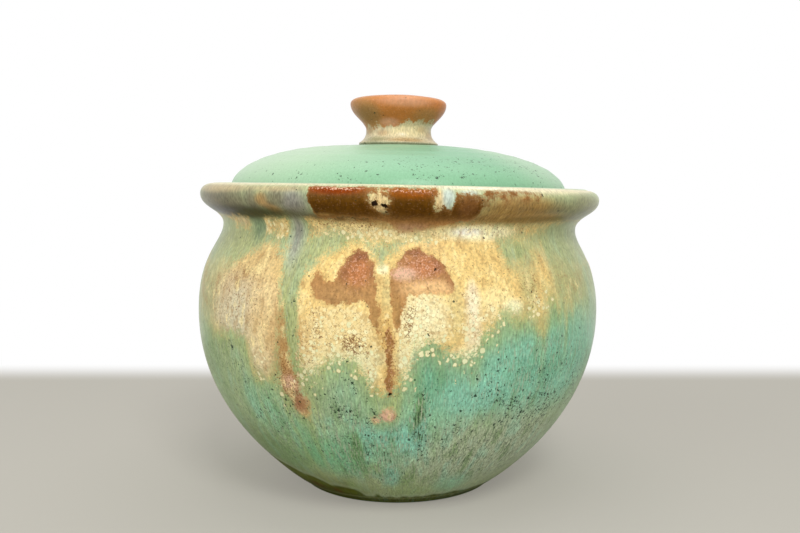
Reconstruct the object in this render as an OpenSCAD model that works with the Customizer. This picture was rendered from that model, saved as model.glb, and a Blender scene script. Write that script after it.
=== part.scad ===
// Lidded stoneware jar: a thrown jar with a rolled rim, a domed lid that drops into a seat inside
// the rim, and a flared knob joined to the top of the lid.
// Origin at the centre of the foot, on the table. +Z is up. Millimetres.

/* [Jar] */
// Outside diameter of the rolled rim
rim_d = 170; // [158:1:186]
// Height of the rim's top above the table
rim_z = 125.2; // [117:0.2:144]
// Height of the rim's rounded edge, from its widest part to its top
rim_edge_h = 4.5; // [3.5:0.1:5.5]
// Width of the rim's rounded edge, from its top to its widest part
rim_roll = 5.2; // [4:0.2:6.4]
// How far the rim stands out past the neck
rim_overhang = 9.8; // [8.4:0.2:12]
// Depth of the neck's narrowest part below the rim's top
neck_drop = 16.7; // [15:0.1:21]
// Outside diameter at the belly
belly_d = 170.2; // [160:0.2:190]
// Height of the widest part of the belly
belly_z = 73.5; // [60:0.5:82]
// Thickness of the jar's wall
wall = 6.5; // [5:0.5:8]

/* [Foot] */
// Outside diameter of the foot ring where it meets the table
foot_d = 82; // [70:1:94]
// Bevel round the outside of the foot ring
foot_bevel = 1.2; // [0.6:0.2:2]
// Slope of the wall as it leaves the foot, in degrees from upright
foot_flare = 57; // [45:1:65]
// Width of the foot ring
foot_ring_w = 7; // [5:0.5:10]
// Depth of the hollow trimmed inside the foot ring
foot_hollow = 3; // [2:0.5:4]
// Thickness of the floor above that hollow
floor_t = 7; // [5:0.5:9]
// Diameter of the flat middle of the floor inside the jar
floor_flat_d = 42; // [30:1:56]

/* [Lid seat] */
// Width of the rim's top, from its outside to the wall of the seat
rim_top_w = 12.5; // [11:0.5:15]
// Fall of the rim's top towards the seat
rim_top_fall = 0.6; // [0:0.1:1]
// Depth of the seat below the rim's top
seat_depth = 5; // [4.5:0.5:7]
// Width of the ledge that the lid rests on
ledge_w = 9; // [8:0.5:11]
// Thickness of the ledge's nose
ledge_t = 3; // [2.5:0.5:4]
// Gap all round between the lid's edge and the wall of the seat
lid_gap = 1.5; // [0.5:0.1:2.5]

/* [Lid] */
// Height of the lid from its seat to the flat under the knob
lid_h = 21.6; // [17:0.1:29]
// Height of the lid's upright edge, below the dome
lid_edge_h = 2.5; // [2:0.1:4]
// Width of the lid's flat bottom edge
lid_edge_w = 6.5; // [5:0.1:8]
// Thickness of the lid at its middle
lid_t = 5.7; // [4.5:0.1:7]
// Width of the flat round the foot of the knob
knob_land = 1.5; // [0.5:0.1:3]

/* [Knob] */
// Diameter of the knob's widest part
knob_d = 41; // [34:0.2:48]
// Diameter of the knob's neck
knob_neck_d = 28.2; // [22:0.2:31]
// Diameter of the knob's flared foot
knob_foot_d = 34; // [32:0.2:40]
// Height of the knob
knob_h = 21.2; // [19:0.1:26]
// Height of the knob's rounded edge, from its widest part to its top
knob_edge_h = 3.2; // [2.5:0.1:5]
// Height of the knob's neck above the lid
knob_neck_z = 7; // [5:0.1:9]
// Height of the flare's edge above the lid
knob_flare_z = 1.6; // [1:0.1:2.4]
// Diameter of the flat on top of the knob, inside its rounded edge
knob_top_d = 26; // [18:0.2:30]
// Rise of the knob's top from its edge to its middle
knob_crown = 0.5; // [0:0.1:1]

/* [Edges] */
// Radius of the clay's soft edges
soft_r = 1.2; // [0.8:0.1:1.4]

/* [Hidden] */
$fn = 96;

// Steps along a long curve of the wall, and along a small round
wall_steps = 26;
round_steps = 7;

// Points nearer than this are one point
point_step = 0.001;

// Fullness of the wall's curves: each handle as a share of the height that its curve spans
belly_fullness_low = 0.52;
foot_fullness = 0.25;
belly_fullness_high = 0.65;
neck_fullness = 0.2;
lip_fullness_low = 0.43;
lip_fullness_high = 0.53;
ledge_fullness = 0.4;
floor_fullness = 0.5;

// Fullness of the lid's dome at its edge, as a share of its rise, and at its top, as a share of its run
dome_fullness_up = 0.62;
dome_fullness_in = 0.52;

// Fullness of the knob's curves in the same way, at each end of its flare, neck, head and edge
flare_fullness_in = 0.45;
flare_fullness_up = 0.25;
knob_neck_fullness_low = 0.6;
knob_neck_fullness_high = 0.35;
head_fullness = 0.45;
edge_fullness_up = 0.7;
edge_fullness_out = 0.6;

// Radii
rim_r = rim_d / 2;
neck_r = rim_r - rim_overhang;
belly_r = belly_d / 2;
foot_r = foot_d / 2;
hollow_r = foot_r - foot_ring_w;
seat_r = rim_r - rim_top_w;
ledge_r = seat_r - ledge_w;
lid_r = seat_r - lid_gap;
lid_in_r = lid_r - lid_edge_w;
knob_r = knob_d / 2;
knob_neck_r = knob_neck_d / 2;
knob_foot_r = knob_foot_d / 2;
knob_top_r = knob_top_d / 2;
land_r = knob_foot_r + knob_land;

// Heights
neck_z = rim_z - neck_drop;
roll_z = rim_z - rim_edge_h;
seat_z = rim_z - seat_depth;
floor_z = foot_hollow + floor_t;
lid_top_z = seat_z + lid_h;

// Colours of the fired glazes
sea_green = "#86b59a";
pale_jade = "#a3d3b5";
rust_brown = "#a5683f";

// Points of a cubic curve from a to d, with handles at b and c
function curve(a, b, c, d, steps) = [
    for (i = [0 : steps])
        let (t = i / steps, s = 1 - t)
            s * s * s * a + 3 * s * s * t * b + 3 * s * t * t * c + t * t * t * d
];

// Points of an elliptic arc about a centre, from one angle to another
function arc(centre, rx, rz, from, to, steps) = [
    for (i = [0 : steps])
        let (angle = from + (to - from) * i / steps)
            centre + [rx * cos(angle), rz * sin(angle)]
];

// Drops each point that lies on the one before it, where two stretches meet
function without_repeats(points) = [
    for (i = [0 : len(points) - 1])
        if (i == 0 || norm(points[i] - points[i - 1]) > point_step) points[i]
];

// Handle that leaves the foot at the slope of the wall, as long as asked
function foot_handle(length) = [length * sin(foot_flare), length * cos(foot_flare)];

// Outside of the jar from the foot ring up to the top of the rim
function jar_outside() =
    let (
        foot = [foot_r + foot_bevel, foot_bevel],
        belly = [belly_r, belly_z],
        neck = [neck_r, neck_z],
        widest = [rim_r, roll_z],
        low = belly_z - foot_bevel,
        high = neck_z - belly_z,
        lip = roll_z - neck_z
    )
    concat(
        [[foot_r, 0]],
        curve(foot, foot + foot_handle(low * foot_fullness),
            belly - [0, low * belly_fullness_low], belly, wall_steps),
        curve(belly, belly + [0, high * belly_fullness_high],
            neck - [0, high * neck_fullness], neck, wall_steps),
        curve(neck, neck + [0, lip * lip_fullness_low],
            widest - [0, lip * lip_fullness_high], widest, 2 * round_steps),
        arc([rim_r - rim_roll, roll_z], rim_roll, rim_edge_h, 0, 90, round_steps)
    );

// Inside of the jar from the top of the rim, over the lid's seat and down the wall to the floor
function jar_inside() =
    let (
        belly = [belly_r - wall, belly_z],
        neck = [neck_r - wall, neck_z],
        nose = [ledge_r, seat_z - ledge_t],
        floor_edge = [floor_flat_d / 2, floor_z],
        high = neck_z - belly_z,
        low = belly_z - floor_z,
        back = nose.y - neck_z
    )
    concat(
        arc([seat_r + soft_r, rim_z - rim_top_fall - soft_r], soft_r, soft_r, 90, 180, round_steps),
        arc([seat_r - soft_r, seat_z + soft_r], soft_r, soft_r, 0, -90, round_steps),
        arc([ledge_r + soft_r, seat_z - soft_r], soft_r, soft_r, 90, 180, round_steps),
        curve(nose, nose - [0, back * ledge_fullness], neck + [0, back * ledge_fullness], neck, round_steps),
        curve(neck, neck - [0, high * neck_fullness],
            belly + [0, high * belly_fullness_high], belly, wall_steps),
        curve(belly, belly - [0, low * belly_fullness_low],
            floor_edge + [low * floor_fullness, 0], floor_edge, wall_steps)
    );

// Underside of the jar: the trimmed hollow and the inner edge of the foot ring
function jar_underside() = [
    [0, floor_z],
    [0, foot_hollow],
    [hollow_r, foot_hollow],
    [hollow_r, soft_r / 2],
    [hollow_r + soft_r / 2, 0]
];

module jar_body() {
    color(sea_green)
        rotate_extrude()
            polygon(without_repeats(concat(jar_outside(), jar_inside(), jar_underside())));
}

// Outside of the lid from its bottom edge up to the land under the knob
function lid_outside() =
    let (
        edge = [lid_r, seat_z + lid_edge_h],
        land = [land_r, lid_top_z],
        rise = land.y - edge.y,
        run = edge.x - land.x
    )
    concat(
        arc([lid_r - soft_r, seat_z + soft_r], soft_r, soft_r, -90, 0, round_steps),
        curve(edge, edge + [0, rise * dome_fullness_up], land + [run * dome_fullness_in, 0], land, wall_steps)
    );

// Hollow under the lid, from its middle down to the bottom edge
function lid_underside() =
    arc([0, seat_z], lid_in_r, lid_h - lid_t, 90, 0, wall_steps);

module lid() {
    color(pale_jade)
        rotate_extrude()
            polygon(without_repeats(concat(lid_outside(), [[0, lid_top_z]], lid_underside())));
}

// Outline of the knob from its foot up to the middle of its top, from the lid's top
function knob_outline() =
    let (
        flare = [knob_foot_r, knob_flare_z],
        neck = [knob_neck_r, knob_neck_z],
        wide = [knob_r, knob_h - knob_edge_h],
        edge = [knob_top_r, knob_h - knob_crown],
        neck_rise = neck.y - flare.y,
        head_rise = wide.y - neck.y,
        edge_rise = edge.y - wide.y,
        edge_run = wide.x - edge.x
    )
    concat(
        [[0, 0]],
        arc([knob_foot_r - knob_flare_z, knob_flare_z], knob_flare_z, knob_flare_z, -90, 0, round_steps),
        curve(flare, flare + [flare_fullness_in * (neck.x - flare.x), flare_fullness_up * neck_rise],
            neck - [0, knob_neck_fullness_low * neck_rise], neck, round_steps),
        curve(neck, neck + [0, knob_neck_fullness_high * head_rise],
            wide - [0, head_fullness * head_rise], wide, 2 * round_steps),
        curve(wide, wide + [0, edge_fullness_up * edge_rise],
            edge + [edge_fullness_out * edge_run, 0], edge, round_steps),
        [[0, knob_h]]
    );

module knob() {
    color(rust_brown)
        translate([0, 0, lid_top_z])
            rotate_extrude()
                polygon(without_repeats(knob_outline()));
}

jar_body();
lid();
knob();
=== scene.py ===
"""Looks of a lidded stoneware jar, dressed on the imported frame.

Three turned shells stand for the jar, its lid and its knob. Each is a section carried round the axis and
worked out as whole arrays, with the touch of the hand and the thickness of the glaze in its shape. The
runny glazes are laid on as named strokes, blots and runs, placed in degrees round the jar from its front
and in millimetres up its outside from the foot. The finish then breaks their edges into beads, specks and
streaks.
"""

import logging
import math
from dataclasses import dataclass, replace
from enum import Enum
from functools import partial, reduce

import bpy
import numpy as np
from mathutils import Matrix, Vector


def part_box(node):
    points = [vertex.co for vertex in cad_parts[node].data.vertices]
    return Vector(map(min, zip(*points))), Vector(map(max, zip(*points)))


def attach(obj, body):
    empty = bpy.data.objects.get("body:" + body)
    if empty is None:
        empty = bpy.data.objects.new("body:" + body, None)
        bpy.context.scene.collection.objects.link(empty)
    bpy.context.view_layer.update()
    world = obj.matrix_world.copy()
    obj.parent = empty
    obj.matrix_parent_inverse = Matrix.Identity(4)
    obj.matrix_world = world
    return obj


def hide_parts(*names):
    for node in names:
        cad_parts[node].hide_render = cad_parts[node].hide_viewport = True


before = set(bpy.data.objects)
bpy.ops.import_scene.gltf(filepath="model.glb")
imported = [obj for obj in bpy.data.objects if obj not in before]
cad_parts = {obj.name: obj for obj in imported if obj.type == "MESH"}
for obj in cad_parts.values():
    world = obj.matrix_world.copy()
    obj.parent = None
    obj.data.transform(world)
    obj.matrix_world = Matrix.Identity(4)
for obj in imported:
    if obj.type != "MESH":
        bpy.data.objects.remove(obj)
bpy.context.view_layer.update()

MM = 0.001
FULL_TURN = 360.0

# Depths that stand for far outside a coat and for well inside the bare clay, in millimetres
FAR_OFF = -60.0
CLAY_DEPTH = 4.0

# Longest push of the crumbled pattern, and half the width of a pit's soft edge, in millimetres
CRUMBLE = 1.6
PIT_EDGE = 0.15

# Turns that carry the rust of the front round to the back, in degrees
BACK_TURNS = (128.0, -122.0)

Socket = bpy.types.NodeSocket
Entry = Socket | float | tuple
Stretch = tuple[np.ndarray, int]

log = logging.getLogger("jar")


class Tint(Enum):
    """Fired colours of the glazes and the clay, as linear red, green and blue. GLINT is a painted
    highlight, and some others are also laid as painted shade or painted highlights.
    """

    TURQUOISE = (0.215, 0.48, 0.325)
    AQUA = (0.23, 0.53, 0.40)
    DEEP = (0.13, 0.24, 0.075)
    EMERALD = (0.15, 0.43, 0.21)
    BRACKEN = (0.18, 0.22, 0.08)
    PINE = (0.09, 0.25, 0.065)
    TEAL = (0.12, 0.32, 0.18)
    SAGE = (0.36, 0.42, 0.21)
    LICHEN = (0.28, 0.40, 0.23)
    MEADOW = (0.31, 0.40, 0.20)
    FERN = (0.20, 0.32, 0.14)
    SEA_GREEN = (0.23, 0.50, 0.31)
    LEAF = (0.27, 0.38, 0.14)
    WILLOW = (0.41, 0.43, 0.19)
    SEDGE = (0.34, 0.35, 0.155)
    JADE = (0.21, 0.42, 0.25)
    PALE_JADE = (0.42, 0.56, 0.38)
    # Dark grey-green of pooled glaze, also laid as painted shade round and under the knob
    POOL_AND_SHADE = (0.12, 0.20, 0.12)
    OLIVE = (0.11, 0.125, 0.008)
    FEN = (0.07, 0.076, 0.004)
    THREAD = (0.045, 0.085, 0.04)
    STONE = (0.40, 0.46, 0.31)
    MILK = (0.46, 0.52, 0.36)
    HALO = (0.36, 0.40, 0.15)
    LILAC = (0.25, 0.24, 0.20)
    MAUVE = (0.20, 0.18, 0.12)
    SLATE = (0.19, 0.17, 0.105)
    BUFF_GREY = (0.46, 0.36, 0.20)
    OLIVE_GREY = (0.26, 0.26, 0.13)
    SANDY = (0.42, 0.255, 0.075)
    PALE_BLUE = (0.50, 0.58, 0.50)
    CREAM = (0.86, 0.71, 0.34)
    IVORY = (0.74, 0.64, 0.41)
    LINEN = (0.58, 0.49, 0.30)
    GLINT = (0.95, 0.93, 0.80)
    MINT = (0.66, 0.74, 0.47)
    CHALK = (0.58, 0.54, 0.37)
    PEARL = (0.90, 0.88, 0.56)
    OCHRE = (0.74, 0.53, 0.20)
    GOLD = (0.62, 0.40, 0.13)
    HONEY = (0.60, 0.49, 0.21)
    BUFF = (0.70, 0.52, 0.25)
    ROSY_BUFF = (0.59, 0.48, 0.29)
    SEAM = (0.58, 0.42, 0.19)
    TAN = (0.38, 0.22, 0.075)
    BEIGE = (0.72, 0.46, 0.21)
    TOFFEE = (0.40, 0.225, 0.085)
    FAWN = (0.40, 0.24, 0.13)
    BROWN = (0.40, 0.21, 0.075)
    RUST = (0.42, 0.165, 0.062)
    PETAL = (0.80, 0.60, 0.45)
    BLUSH = (0.68, 0.40, 0.27)
    ROSE = (0.62, 0.38, 0.26)
    CHESTNUT = (0.25, 0.10, 0.045)
    COCOA = (0.20, 0.085, 0.025)
    BARK = (0.17, 0.09, 0.014)
    PEAT = (0.032, 0.024, 0.0)
    UMBER = (0.10, 0.04, 0.002)
    FIRED_RED = (0.20, 0.03, 0.0)
    FIRED_ORANGE = (0.24, 0.065, 0.002)
    HEAD_RUST = (0.52, 0.18, 0.043)
    SPECK = (0.012, 0.028, 0.014)
    PIT = (0.012, 0.004, 0.0)
    CLAY = (0.36, 0.26, 0.16)
    GROG = (0.16, 0.09, 0.05)

    @property
    def rgba(self) -> tuple[float, float, float, float]:
        """The colour with full cover."""
        return (*self.value, 1.0)

    @property
    def array(self) -> np.ndarray:
        """The colour as an array."""
        return np.array(self.value)


class Body(Enum):
    """The frame's bodies that the shells ride on."""

    JAR = "jar"
    LID = "lid"


class Slot(Enum):
    """The record's material slots."""

    JAR = "jar_glaze"
    LID = "lid_glaze"
    KNOB = "knob_glaze"


class Kind(Enum):
    """What an attribute of a mesh holds at each point."""

    NUMBERS = "FLOAT_VECTOR"
    COLOUR = "FLOAT_COLOR"


class Reach(Enum):
    """What is measured among scattered points: the way to the nearest one, or to the edge of its cell."""

    POINT = "F1"
    EDGE = "DISTANCE_TO_EDGE"


def smoothstep(low: float, high: float, value: np.ndarray) -> np.ndarray:
    """Goes smoothly from 0 at low to 1 at high, flat at both ends.

    Args:
        low: value that gives 0, which may be the larger one.
        high: value that gives 1.
        value: array to grade.

    Returns:
        The graded array.
    """
    share = np.clip((value - low) / (high - low), 0.0, 1.0)
    return share * share * (3.0 - 2.0 * share)


def wrapped(degrees: np.ndarray) -> np.ndarray:
    """The same angles from -180 to 180 degrees."""
    return (degrees + FULL_TURN / 2) % FULL_TURN - FULL_TURN / 2


def bezier(start: tuple, leave: tuple, arrive: tuple, end: tuple, count: int = 60) -> np.ndarray:
    """A cubic curve between two points, each with its handle.

    Args:
        start: first point, as radius and height.
        leave: handle of the first point.
        arrive: handle of the last point.
        end: last point.
        count: how many points to give.

    Returns:
        Points along the curve, one a row.
    """
    t = np.linspace(0.0, 1.0, count)[:, None]
    s = 1.0 - t
    a, b, c, d = (np.array(p, float) for p in (start, leave, arrive, end))
    return s**3 * a + 3 * s * s * t * b + 3 * s * t * t * c + t**3 * d


def arc(centre: tuple, across: float, up: float, start: float, end: float, count: int = 40) -> np.ndarray:
    """An elliptic arc: the centre plus its two half axes times the cosine and sine of the angle.

    Args:
        centre: radius and height of the centre.
        across: half axis along the radius.
        up: half axis along the height.
        start: first angle in degrees.
        end: last angle in degrees.
        count: how many points to give.

    Returns:
        Points along the arc, one a row.
    """
    angle = np.radians(np.linspace(start, end, count))
    return np.stack([centre[0] + across * np.cos(angle), centre[1] + up * np.sin(angle)], axis=1)


def line(*points: tuple) -> np.ndarray:
    """A stretch of straight lines through the points."""
    return np.array(points, float)


def spaced(points: np.ndarray, count: int) -> np.ndarray:
    """Evenly spaced points along a stretch, without its last point, so that stretches can be joined.

    Args:
        points: the stretch, one point a row.
        count: how many points to give.

    Returns:
        The spaced points, one a row.
    """
    step = np.linalg.norm(np.diff(points, axis=0), axis=1)
    run = np.concatenate([[0.0], np.cumsum(step)])
    at = np.linspace(0.0, run[-1], count, endpoint=False)
    return np.stack([np.interp(at, run, points[:, 0]), np.interp(at, run, points[:, 1])], axis=1)


def row_count(stretches: list[Stretch]) -> int:
    """How many rows some stretches of a section have together."""
    return sum(count for _, count in stretches)


def joined(stretches: list[Stretch], end: tuple[float, float]) -> np.ndarray:
    """A section made of stretches, each spaced evenly over its number of rows, and its last point."""
    return np.concatenate([*(spaced(points, count) for points, count in stretches), line(end)])


def ring_faces(rings: int, columns: int) -> tuple[np.ndarray, np.ndarray]:
    """Faces among rings of points, which are numbered ring by ring from 1, round a middle point 0.

    Args:
        rings: how many rings there are.
        columns: how many points each ring has.

    Returns:
        The quads between the rings, and the fan of triangles from the middle to the first ring.
    """
    j = np.arange(columns)
    after = (j + 1) % columns
    start = 1 + np.arange(rings - 1)[:, None] * columns
    quads = np.stack([start + j, start + columns + j, start + columns + after, start + after], axis=-1)
    return quads, np.stack([np.zeros_like(j), 1 + j, 1 + after], axis=-1)


def mixed(first: np.ndarray, second: np.ndarray, share: np.ndarray) -> np.ndarray:
    """Colours between two, by a share from 0 to 1 for each row and column."""
    return first + (second - first) * share[..., None]


def ripple(around: np.ndarray, along: np.ndarray, waves: int, reach: float, seed: int) -> np.ndarray:
    """Smooth unevenness: a sum of waves that close round the jar, each with its own slant and phase.

    Args:
        around: angles in degrees.
        along: millimetres along the section.
        waves: how many waves to add.
        reach: longest wave along the section, in millimetres.
        seed: seed of the slants and phases.

    Returns:
        An array of about -1 to 1, of the shape that the two arrays give together.
    """
    dice = np.random.default_rng(seed)
    total = 0.0
    for _ in range(waves):
        turns = dice.integers(1, 7)
        slope = dice.uniform(-1.0, 1.0) * 2 * math.pi / reach
        phase = dice.uniform(0.0, 2 * math.pi)
        total = total + np.cos(np.radians(around) * turns + along * slope + phase)
    return total / math.sqrt(waves * 2)


@dataclass(frozen=True)
class Touch:
    """A soft touch of the brush: an ellipse that fades out past its edge.

    around and wide are in degrees, up and tall in millimetres, and wide and tall are half sizes.
    """

    around: float
    up: float
    wide: float
    tall: float
    strength: float = 1.0

    def cover(self, wall: "Wall") -> np.ndarray:
        """The touch's share: its strength times exp of minus the fourth power of the distance.

        Args:
            wall: the outside laid flat.

        Returns:
            A share for each row and column.
        """
        across = wrapped(wall.around - self.around) / self.wide
        along = (wall.up - self.up) / self.tall
        return self.strength * np.exp(-((across**2 + along**2) ** 2))

    def turned(self, by: float) -> "Touch":
        """The same touch moved round by so many degrees."""
        return replace(self, around=self.around + by)


@dataclass(frozen=True)
class Stroke(Touch):
    """A touch of one colour."""

    tint: Tint = Tint.CREAM


@dataclass(frozen=True)
class Blot:
    """A pool of glaze with a clear edge: an ellipse, in the units of a touch."""

    around: float
    up: float
    wide: float
    tall: float

    def depth(self, wall: "Wall") -> np.ndarray:
        """About how far inside the ellipse each point lies.

        Args:
            wall: the outside laid flat.

        Returns:
            Millimetres for each row and column, below 0 outside the ellipse.
        """
        wide = self.wide * wall.mm_per_degree
        across = wrapped(wall.around - self.around) / self.wide
        along = (wall.up - self.up) / self.tall
        return (1.0 - np.sqrt(across**2 + along**2)) * min(wide, self.tall)


@dataclass(frozen=True)
class Run:
    """A run of glaze along a few points, each an angle, a height and a half width in millimetres."""

    points: tuple[tuple[float, float, float], ...]

    def depth(self, wall: "Wall") -> np.ndarray:
        """How far inside the run each point lies: the half width less the distance to the nearest stretch.

        Args:
            wall: the outside laid flat.

        Returns:
            Millimetres for each row and column, below 0 outside the run.
        """
        deepest = np.full(np.broadcast(wall.around, wall.up).shape, FAR_OFF)
        for (a0, u0, w0), (a1, u1, w1) in zip(self.points, self.points[1:]):
            across = wrapped(wall.around - a0) * wall.mm_per_degree
            along = wall.up - u0
            dx, dy = (a1 - a0) * wall.mm_per_degree, u1 - u0
            share = np.clip((across * dx + along * dy) / (dx * dx + dy * dy), 0.0, 1.0)
            away = np.hypot(across - share * dx, along - share * dy)
            deepest = np.maximum(deepest, w0 + (w1 - w0) * share - away)
        return deepest

    def turned(self, by: float) -> "Run":
        """The same run moved round by so many degrees."""
        return Run(tuple((around + by, up, wide) for around, up, wide in self.points))


@dataclass(frozen=True)
class Edge:
    """The edge of a glaze round the jar: its height at a few angles, joined by straight lines.

    Its slope is taken over a step to each side, in degrees.
    """

    points: tuple[tuple[float, float], ...]
    step: float = 0.6

    def height(self, around: np.ndarray) -> np.ndarray:
        """Height of the edge at each angle, in millimetres."""
        angles, heights = zip(*self.points)
        return np.interp(around, angles, heights, period=FULL_TURN)

    def above(self, wall: "Wall") -> np.ndarray:
        """Distance above the edge, square to it: the height above it over the root of 1 + slope squared.

        Args:
            wall: the outside laid flat.

        Returns:
            Millimetres for each row and column, below 0 under the edge.
        """
        rise = self.height(wall.around + self.step) - self.height(wall.around - self.step)
        slope = rise / (2 * self.step * wall.mm_per_degree)
        return (wall.up - self.height(wall.around)) / np.sqrt(1.0 + slope**2)

    def turned(self, by: float) -> "Edge":
        """The same edge moved round by so many degrees."""
        return Edge(tuple((around + by, up) for around, up in self.points))


@dataclass(frozen=True)
class Band:
    """A band of glaze between two edges, with none where its foot lies above its head."""

    foot: Edge
    head: Edge

    def depth(self, wall: "Wall") -> np.ndarray:
        """The lesser of the distances above the foot and below the head, in millimetres."""
        return np.minimum(self.foot.above(wall), -self.head.above(wall))

    def turned(self, by: float) -> "Band":
        """The same band moved round by so many degrees."""
        return Band(self.foot.turned(by), self.head.turned(by))


@dataclass
class Wall:
    """The outside of a shell laid out flat, as angles across and millimetres up."""

    around: np.ndarray
    up: np.ndarray
    mm_per_degree: float

    @property
    def flat(self) -> np.ndarray:
        """A zero for each row and column."""
        return 0.0 * (self.around + self.up)

    def painted(self, ground: Tint, strokes: tuple[Stroke, ...]) -> np.ndarray:
        """Lays strokes over a ground colour, each mixed in by its cover, in order.

        Args:
            ground: the colour underneath.
            strokes: what is laid on it.

        Returns:
            A colour for each row and column.
        """
        colour = ground.array + self.flat[..., None]
        for stroke in strokes:
            colour = mixed(colour, stroke.tint.array, stroke.cover(self))
        return colour

    def coated(self, *shapes: Blot | Run | Band) -> np.ndarray:
        """How deep each point lies in the deepest of some shapes.

        Args:
            shapes: what the glaze covers.

        Returns:
            Millimetres for each row and column, below 0 outside all of them.
        """
        deepest = self.flat + FAR_OFF
        for each in shapes:
            deepest = np.maximum(deepest, each.depth(self))
        return deepest

    def dabbed(self, least: float, touches: tuple[Touch, ...]) -> np.ndarray:
        """A density that rises to each touch's strength.

        Args:
            least: the density away from every touch.
            touches: where it rises.

        Returns:
            A density for each row and column.
        """
        density = self.flat + least
        for each in touches:
            density = np.maximum(density, each.cover(self))
        return density


def echoed(*marks: Band | Run | Stroke) -> tuple:
    """The marks, and the same marks turned round to the back."""
    return (*marks, *(mark.turned(by) for by in BACK_TURNS for mark in marks))


class Graph:
    """The nodes of a material or of the sky, with a method for each kind of node that they use."""

    def __init__(self, owner: bpy.types.Material | bpy.types.World) -> None:
        """Starts an empty tree for its owner."""
        owner.use_nodes = True
        self.owner = owner
        self.tree = owner.node_tree
        self.tree.nodes.clear()

    def node(self, kind: str, entries: dict | None = None, **options: object) -> bpy.types.Node:
        """Adds a node.

        Args:
            kind: Blender's name for the kind of node.
            entries: what each entry takes, by its name or number: a socket to link, or a plain value.
            options: the node's own settings.

        Returns:
            The node.
        """
        made = self.tree.nodes.new(kind)
        for option, value in options.items():
            setattr(made, option, value)
        for entry, value in (entries or {}).items():
            if isinstance(value, bpy.types.NodeSocket):
                self.tree.links.new(value, made.inputs[entry])
            else:
                made.inputs[entry].default_value = value
        return made

    def vector(self, attribute: str) -> Socket:
        """The three numbers of a mesh attribute."""
        return self.node("ShaderNodeAttribute", attribute_name=attribute).outputs["Vector"]

    def colour(self, attribute: str) -> Socket:
        """The colour of a mesh attribute."""
        return self.node("ShaderNodeAttribute", attribute_name=attribute).outputs["Color"]

    def split(self, value: Socket) -> tuple[Socket, ...]:
        """The three parts of a vector."""
        return tuple(self.node("ShaderNodeSeparateXYZ", {0: value}).outputs)

    def math(self, operation: str, first: Entry, second: Entry) -> Socket:
        """One sum on two numbers."""
        return self.node("ShaderNodeMath", {0: first, 1: second}, operation=operation).outputs[0]

    def total(self, *parts: Entry) -> Socket:
        """The sum of several numbers."""
        return reduce(partial(self.math, "ADD"), parts)

    def times(self, *parts: Entry) -> Socket:
        """The product of several numbers."""
        return reduce(partial(self.math, "MULTIPLY"), parts)

    def swing(self, noise: Socket, size: Entry) -> Socket:
        """Noise about 0 in place of about a half, times a size."""
        return self.times(self.math("SUBTRACT", noise, 0.5), size)

    def smooth(self, value: Entry, low: float, high: float) -> Socket:
        """Goes smoothly from 0 at low to 1 at high.

        Args:
            value: the number to grade.
            low: value that gives 0, which may be the larger one.
            high: value that gives 1.

        Returns:
            The graded number.
        """
        start, end = (0.0, 1.0) if low < high else (1.0, 0.0)
        entries = {"Value": value, "From Min": min(low, high), "From Max": max(low, high)}
        entries |= {"To Min": start, "To Max": end}
        return self.node("ShaderNodeMapRange", entries, interpolation_type="SMOOTHSTEP").outputs["Result"]

    def mix(self, share: Entry, first: Entry, second: Entry) -> Socket:
        """A colour between two, by a share from 0 to 1. Entries 6 and 7 of a Mix node take its colours."""
        entries = {0: share, 6: first, 7: second}
        return self.node("ShaderNodeMix", entries, data_type="RGBA", clamp_factor=True).outputs[2]

    def laid(self, colour: Entry, tint: Tint, *shares: Entry) -> Socket:
        """A colour with a tint laid over it, by the product of some shares."""
        return self.mix(self.times(*shares), colour, tint.rgba)

    def blend(self, share: Entry, first: Entry, second: Entry) -> Socket:
        """A number between two, by a share from 0 to 1. Entries 2 and 3 of a Mix node take its numbers."""
        entries = {0: share, 2: first, 3: second}
        return self.node("ShaderNodeMix", entries, data_type="FLOAT", clamp_factor=True).outputs[0]

    def scaled(self, colour: Entry, factor: Entry) -> Socket:
        """A colour times one number."""
        return self.node("ShaderNodeVectorMath", {0: colour, "Scale": factor}, operation="SCALE").outputs[0]

    def noise(self, at: Socket, pitch: float, detail: float, rough: float = 0.55) -> Socket:
        """Cloudy noise about a half.

        Args:
            at: where each point lies in the pattern.
            pitch: lumps to the millimetre.
            detail: how many finer noises are added.
            rough: how much each of those counts for.

        Returns:
            The noise.
        """
        entries = {"Vector": at, "Scale": pitch, "Detail": detail, "Roughness": rough}
        return self.node("ShaderNodeTexNoise", entries, noise_dimensions="3D").outputs[0]

    def drawn(self, at: Socket, across: float, along: float, detail: float, rough: float = 0.55) -> Socket:
        """Noise drawn out down the wall, with so many lumps to the millimetre across it and along it."""
        made = self.node("ShaderNodeVectorMath", {0: at, 1: (across, across, along)}, operation="MULTIPLY")
        return self.noise(made.outputs[0], 1.0, detail, rough)

    def jittered(self, at: Socket, pitch: float, size: float) -> Socket:
        """The place, pushed about by a noise.

        Args:
            at: where each point lies in the pattern.
            pitch: the noise's lumps to the millimetre.
            size: the longest push along each axis, in millimetres.

        Returns:
            The place plus the noise's colour times the size.
        """
        push = self.node("ShaderNodeTexNoise", {"Vector": at, "Scale": pitch}, noise_dimensions="3D")
        entries = {0: push.outputs["Color"], 1: (size, size, size), 2: at}
        return self.node("ShaderNodeVectorMath", entries, operation="MULTIPLY_ADD").outputs[0]

    def cells(self, at: Socket, pitch: float, reach: Reach = Reach.POINT) -> bpy.types.Node:
        """Scattered points.

        Args:
            at: where each point lies in the pattern.
            pitch: scattered points to the millimetre.
            reach: which distance to measure.

        Returns:
            The node, with that distance and the nearest point's own random colour.
        """
        entries = {"Vector": at, "Scale": pitch}
        return self.node("ShaderNodeTexVoronoi", entries, voronoi_dimensions="3D", feature=reach.value)


@dataclass(frozen=True)
class Spot:
    """A round dark pit, too small for the grid: its place in the pattern and its radius, in millimetres."""

    at: tuple[float, float, float]
    radius: float


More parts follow.
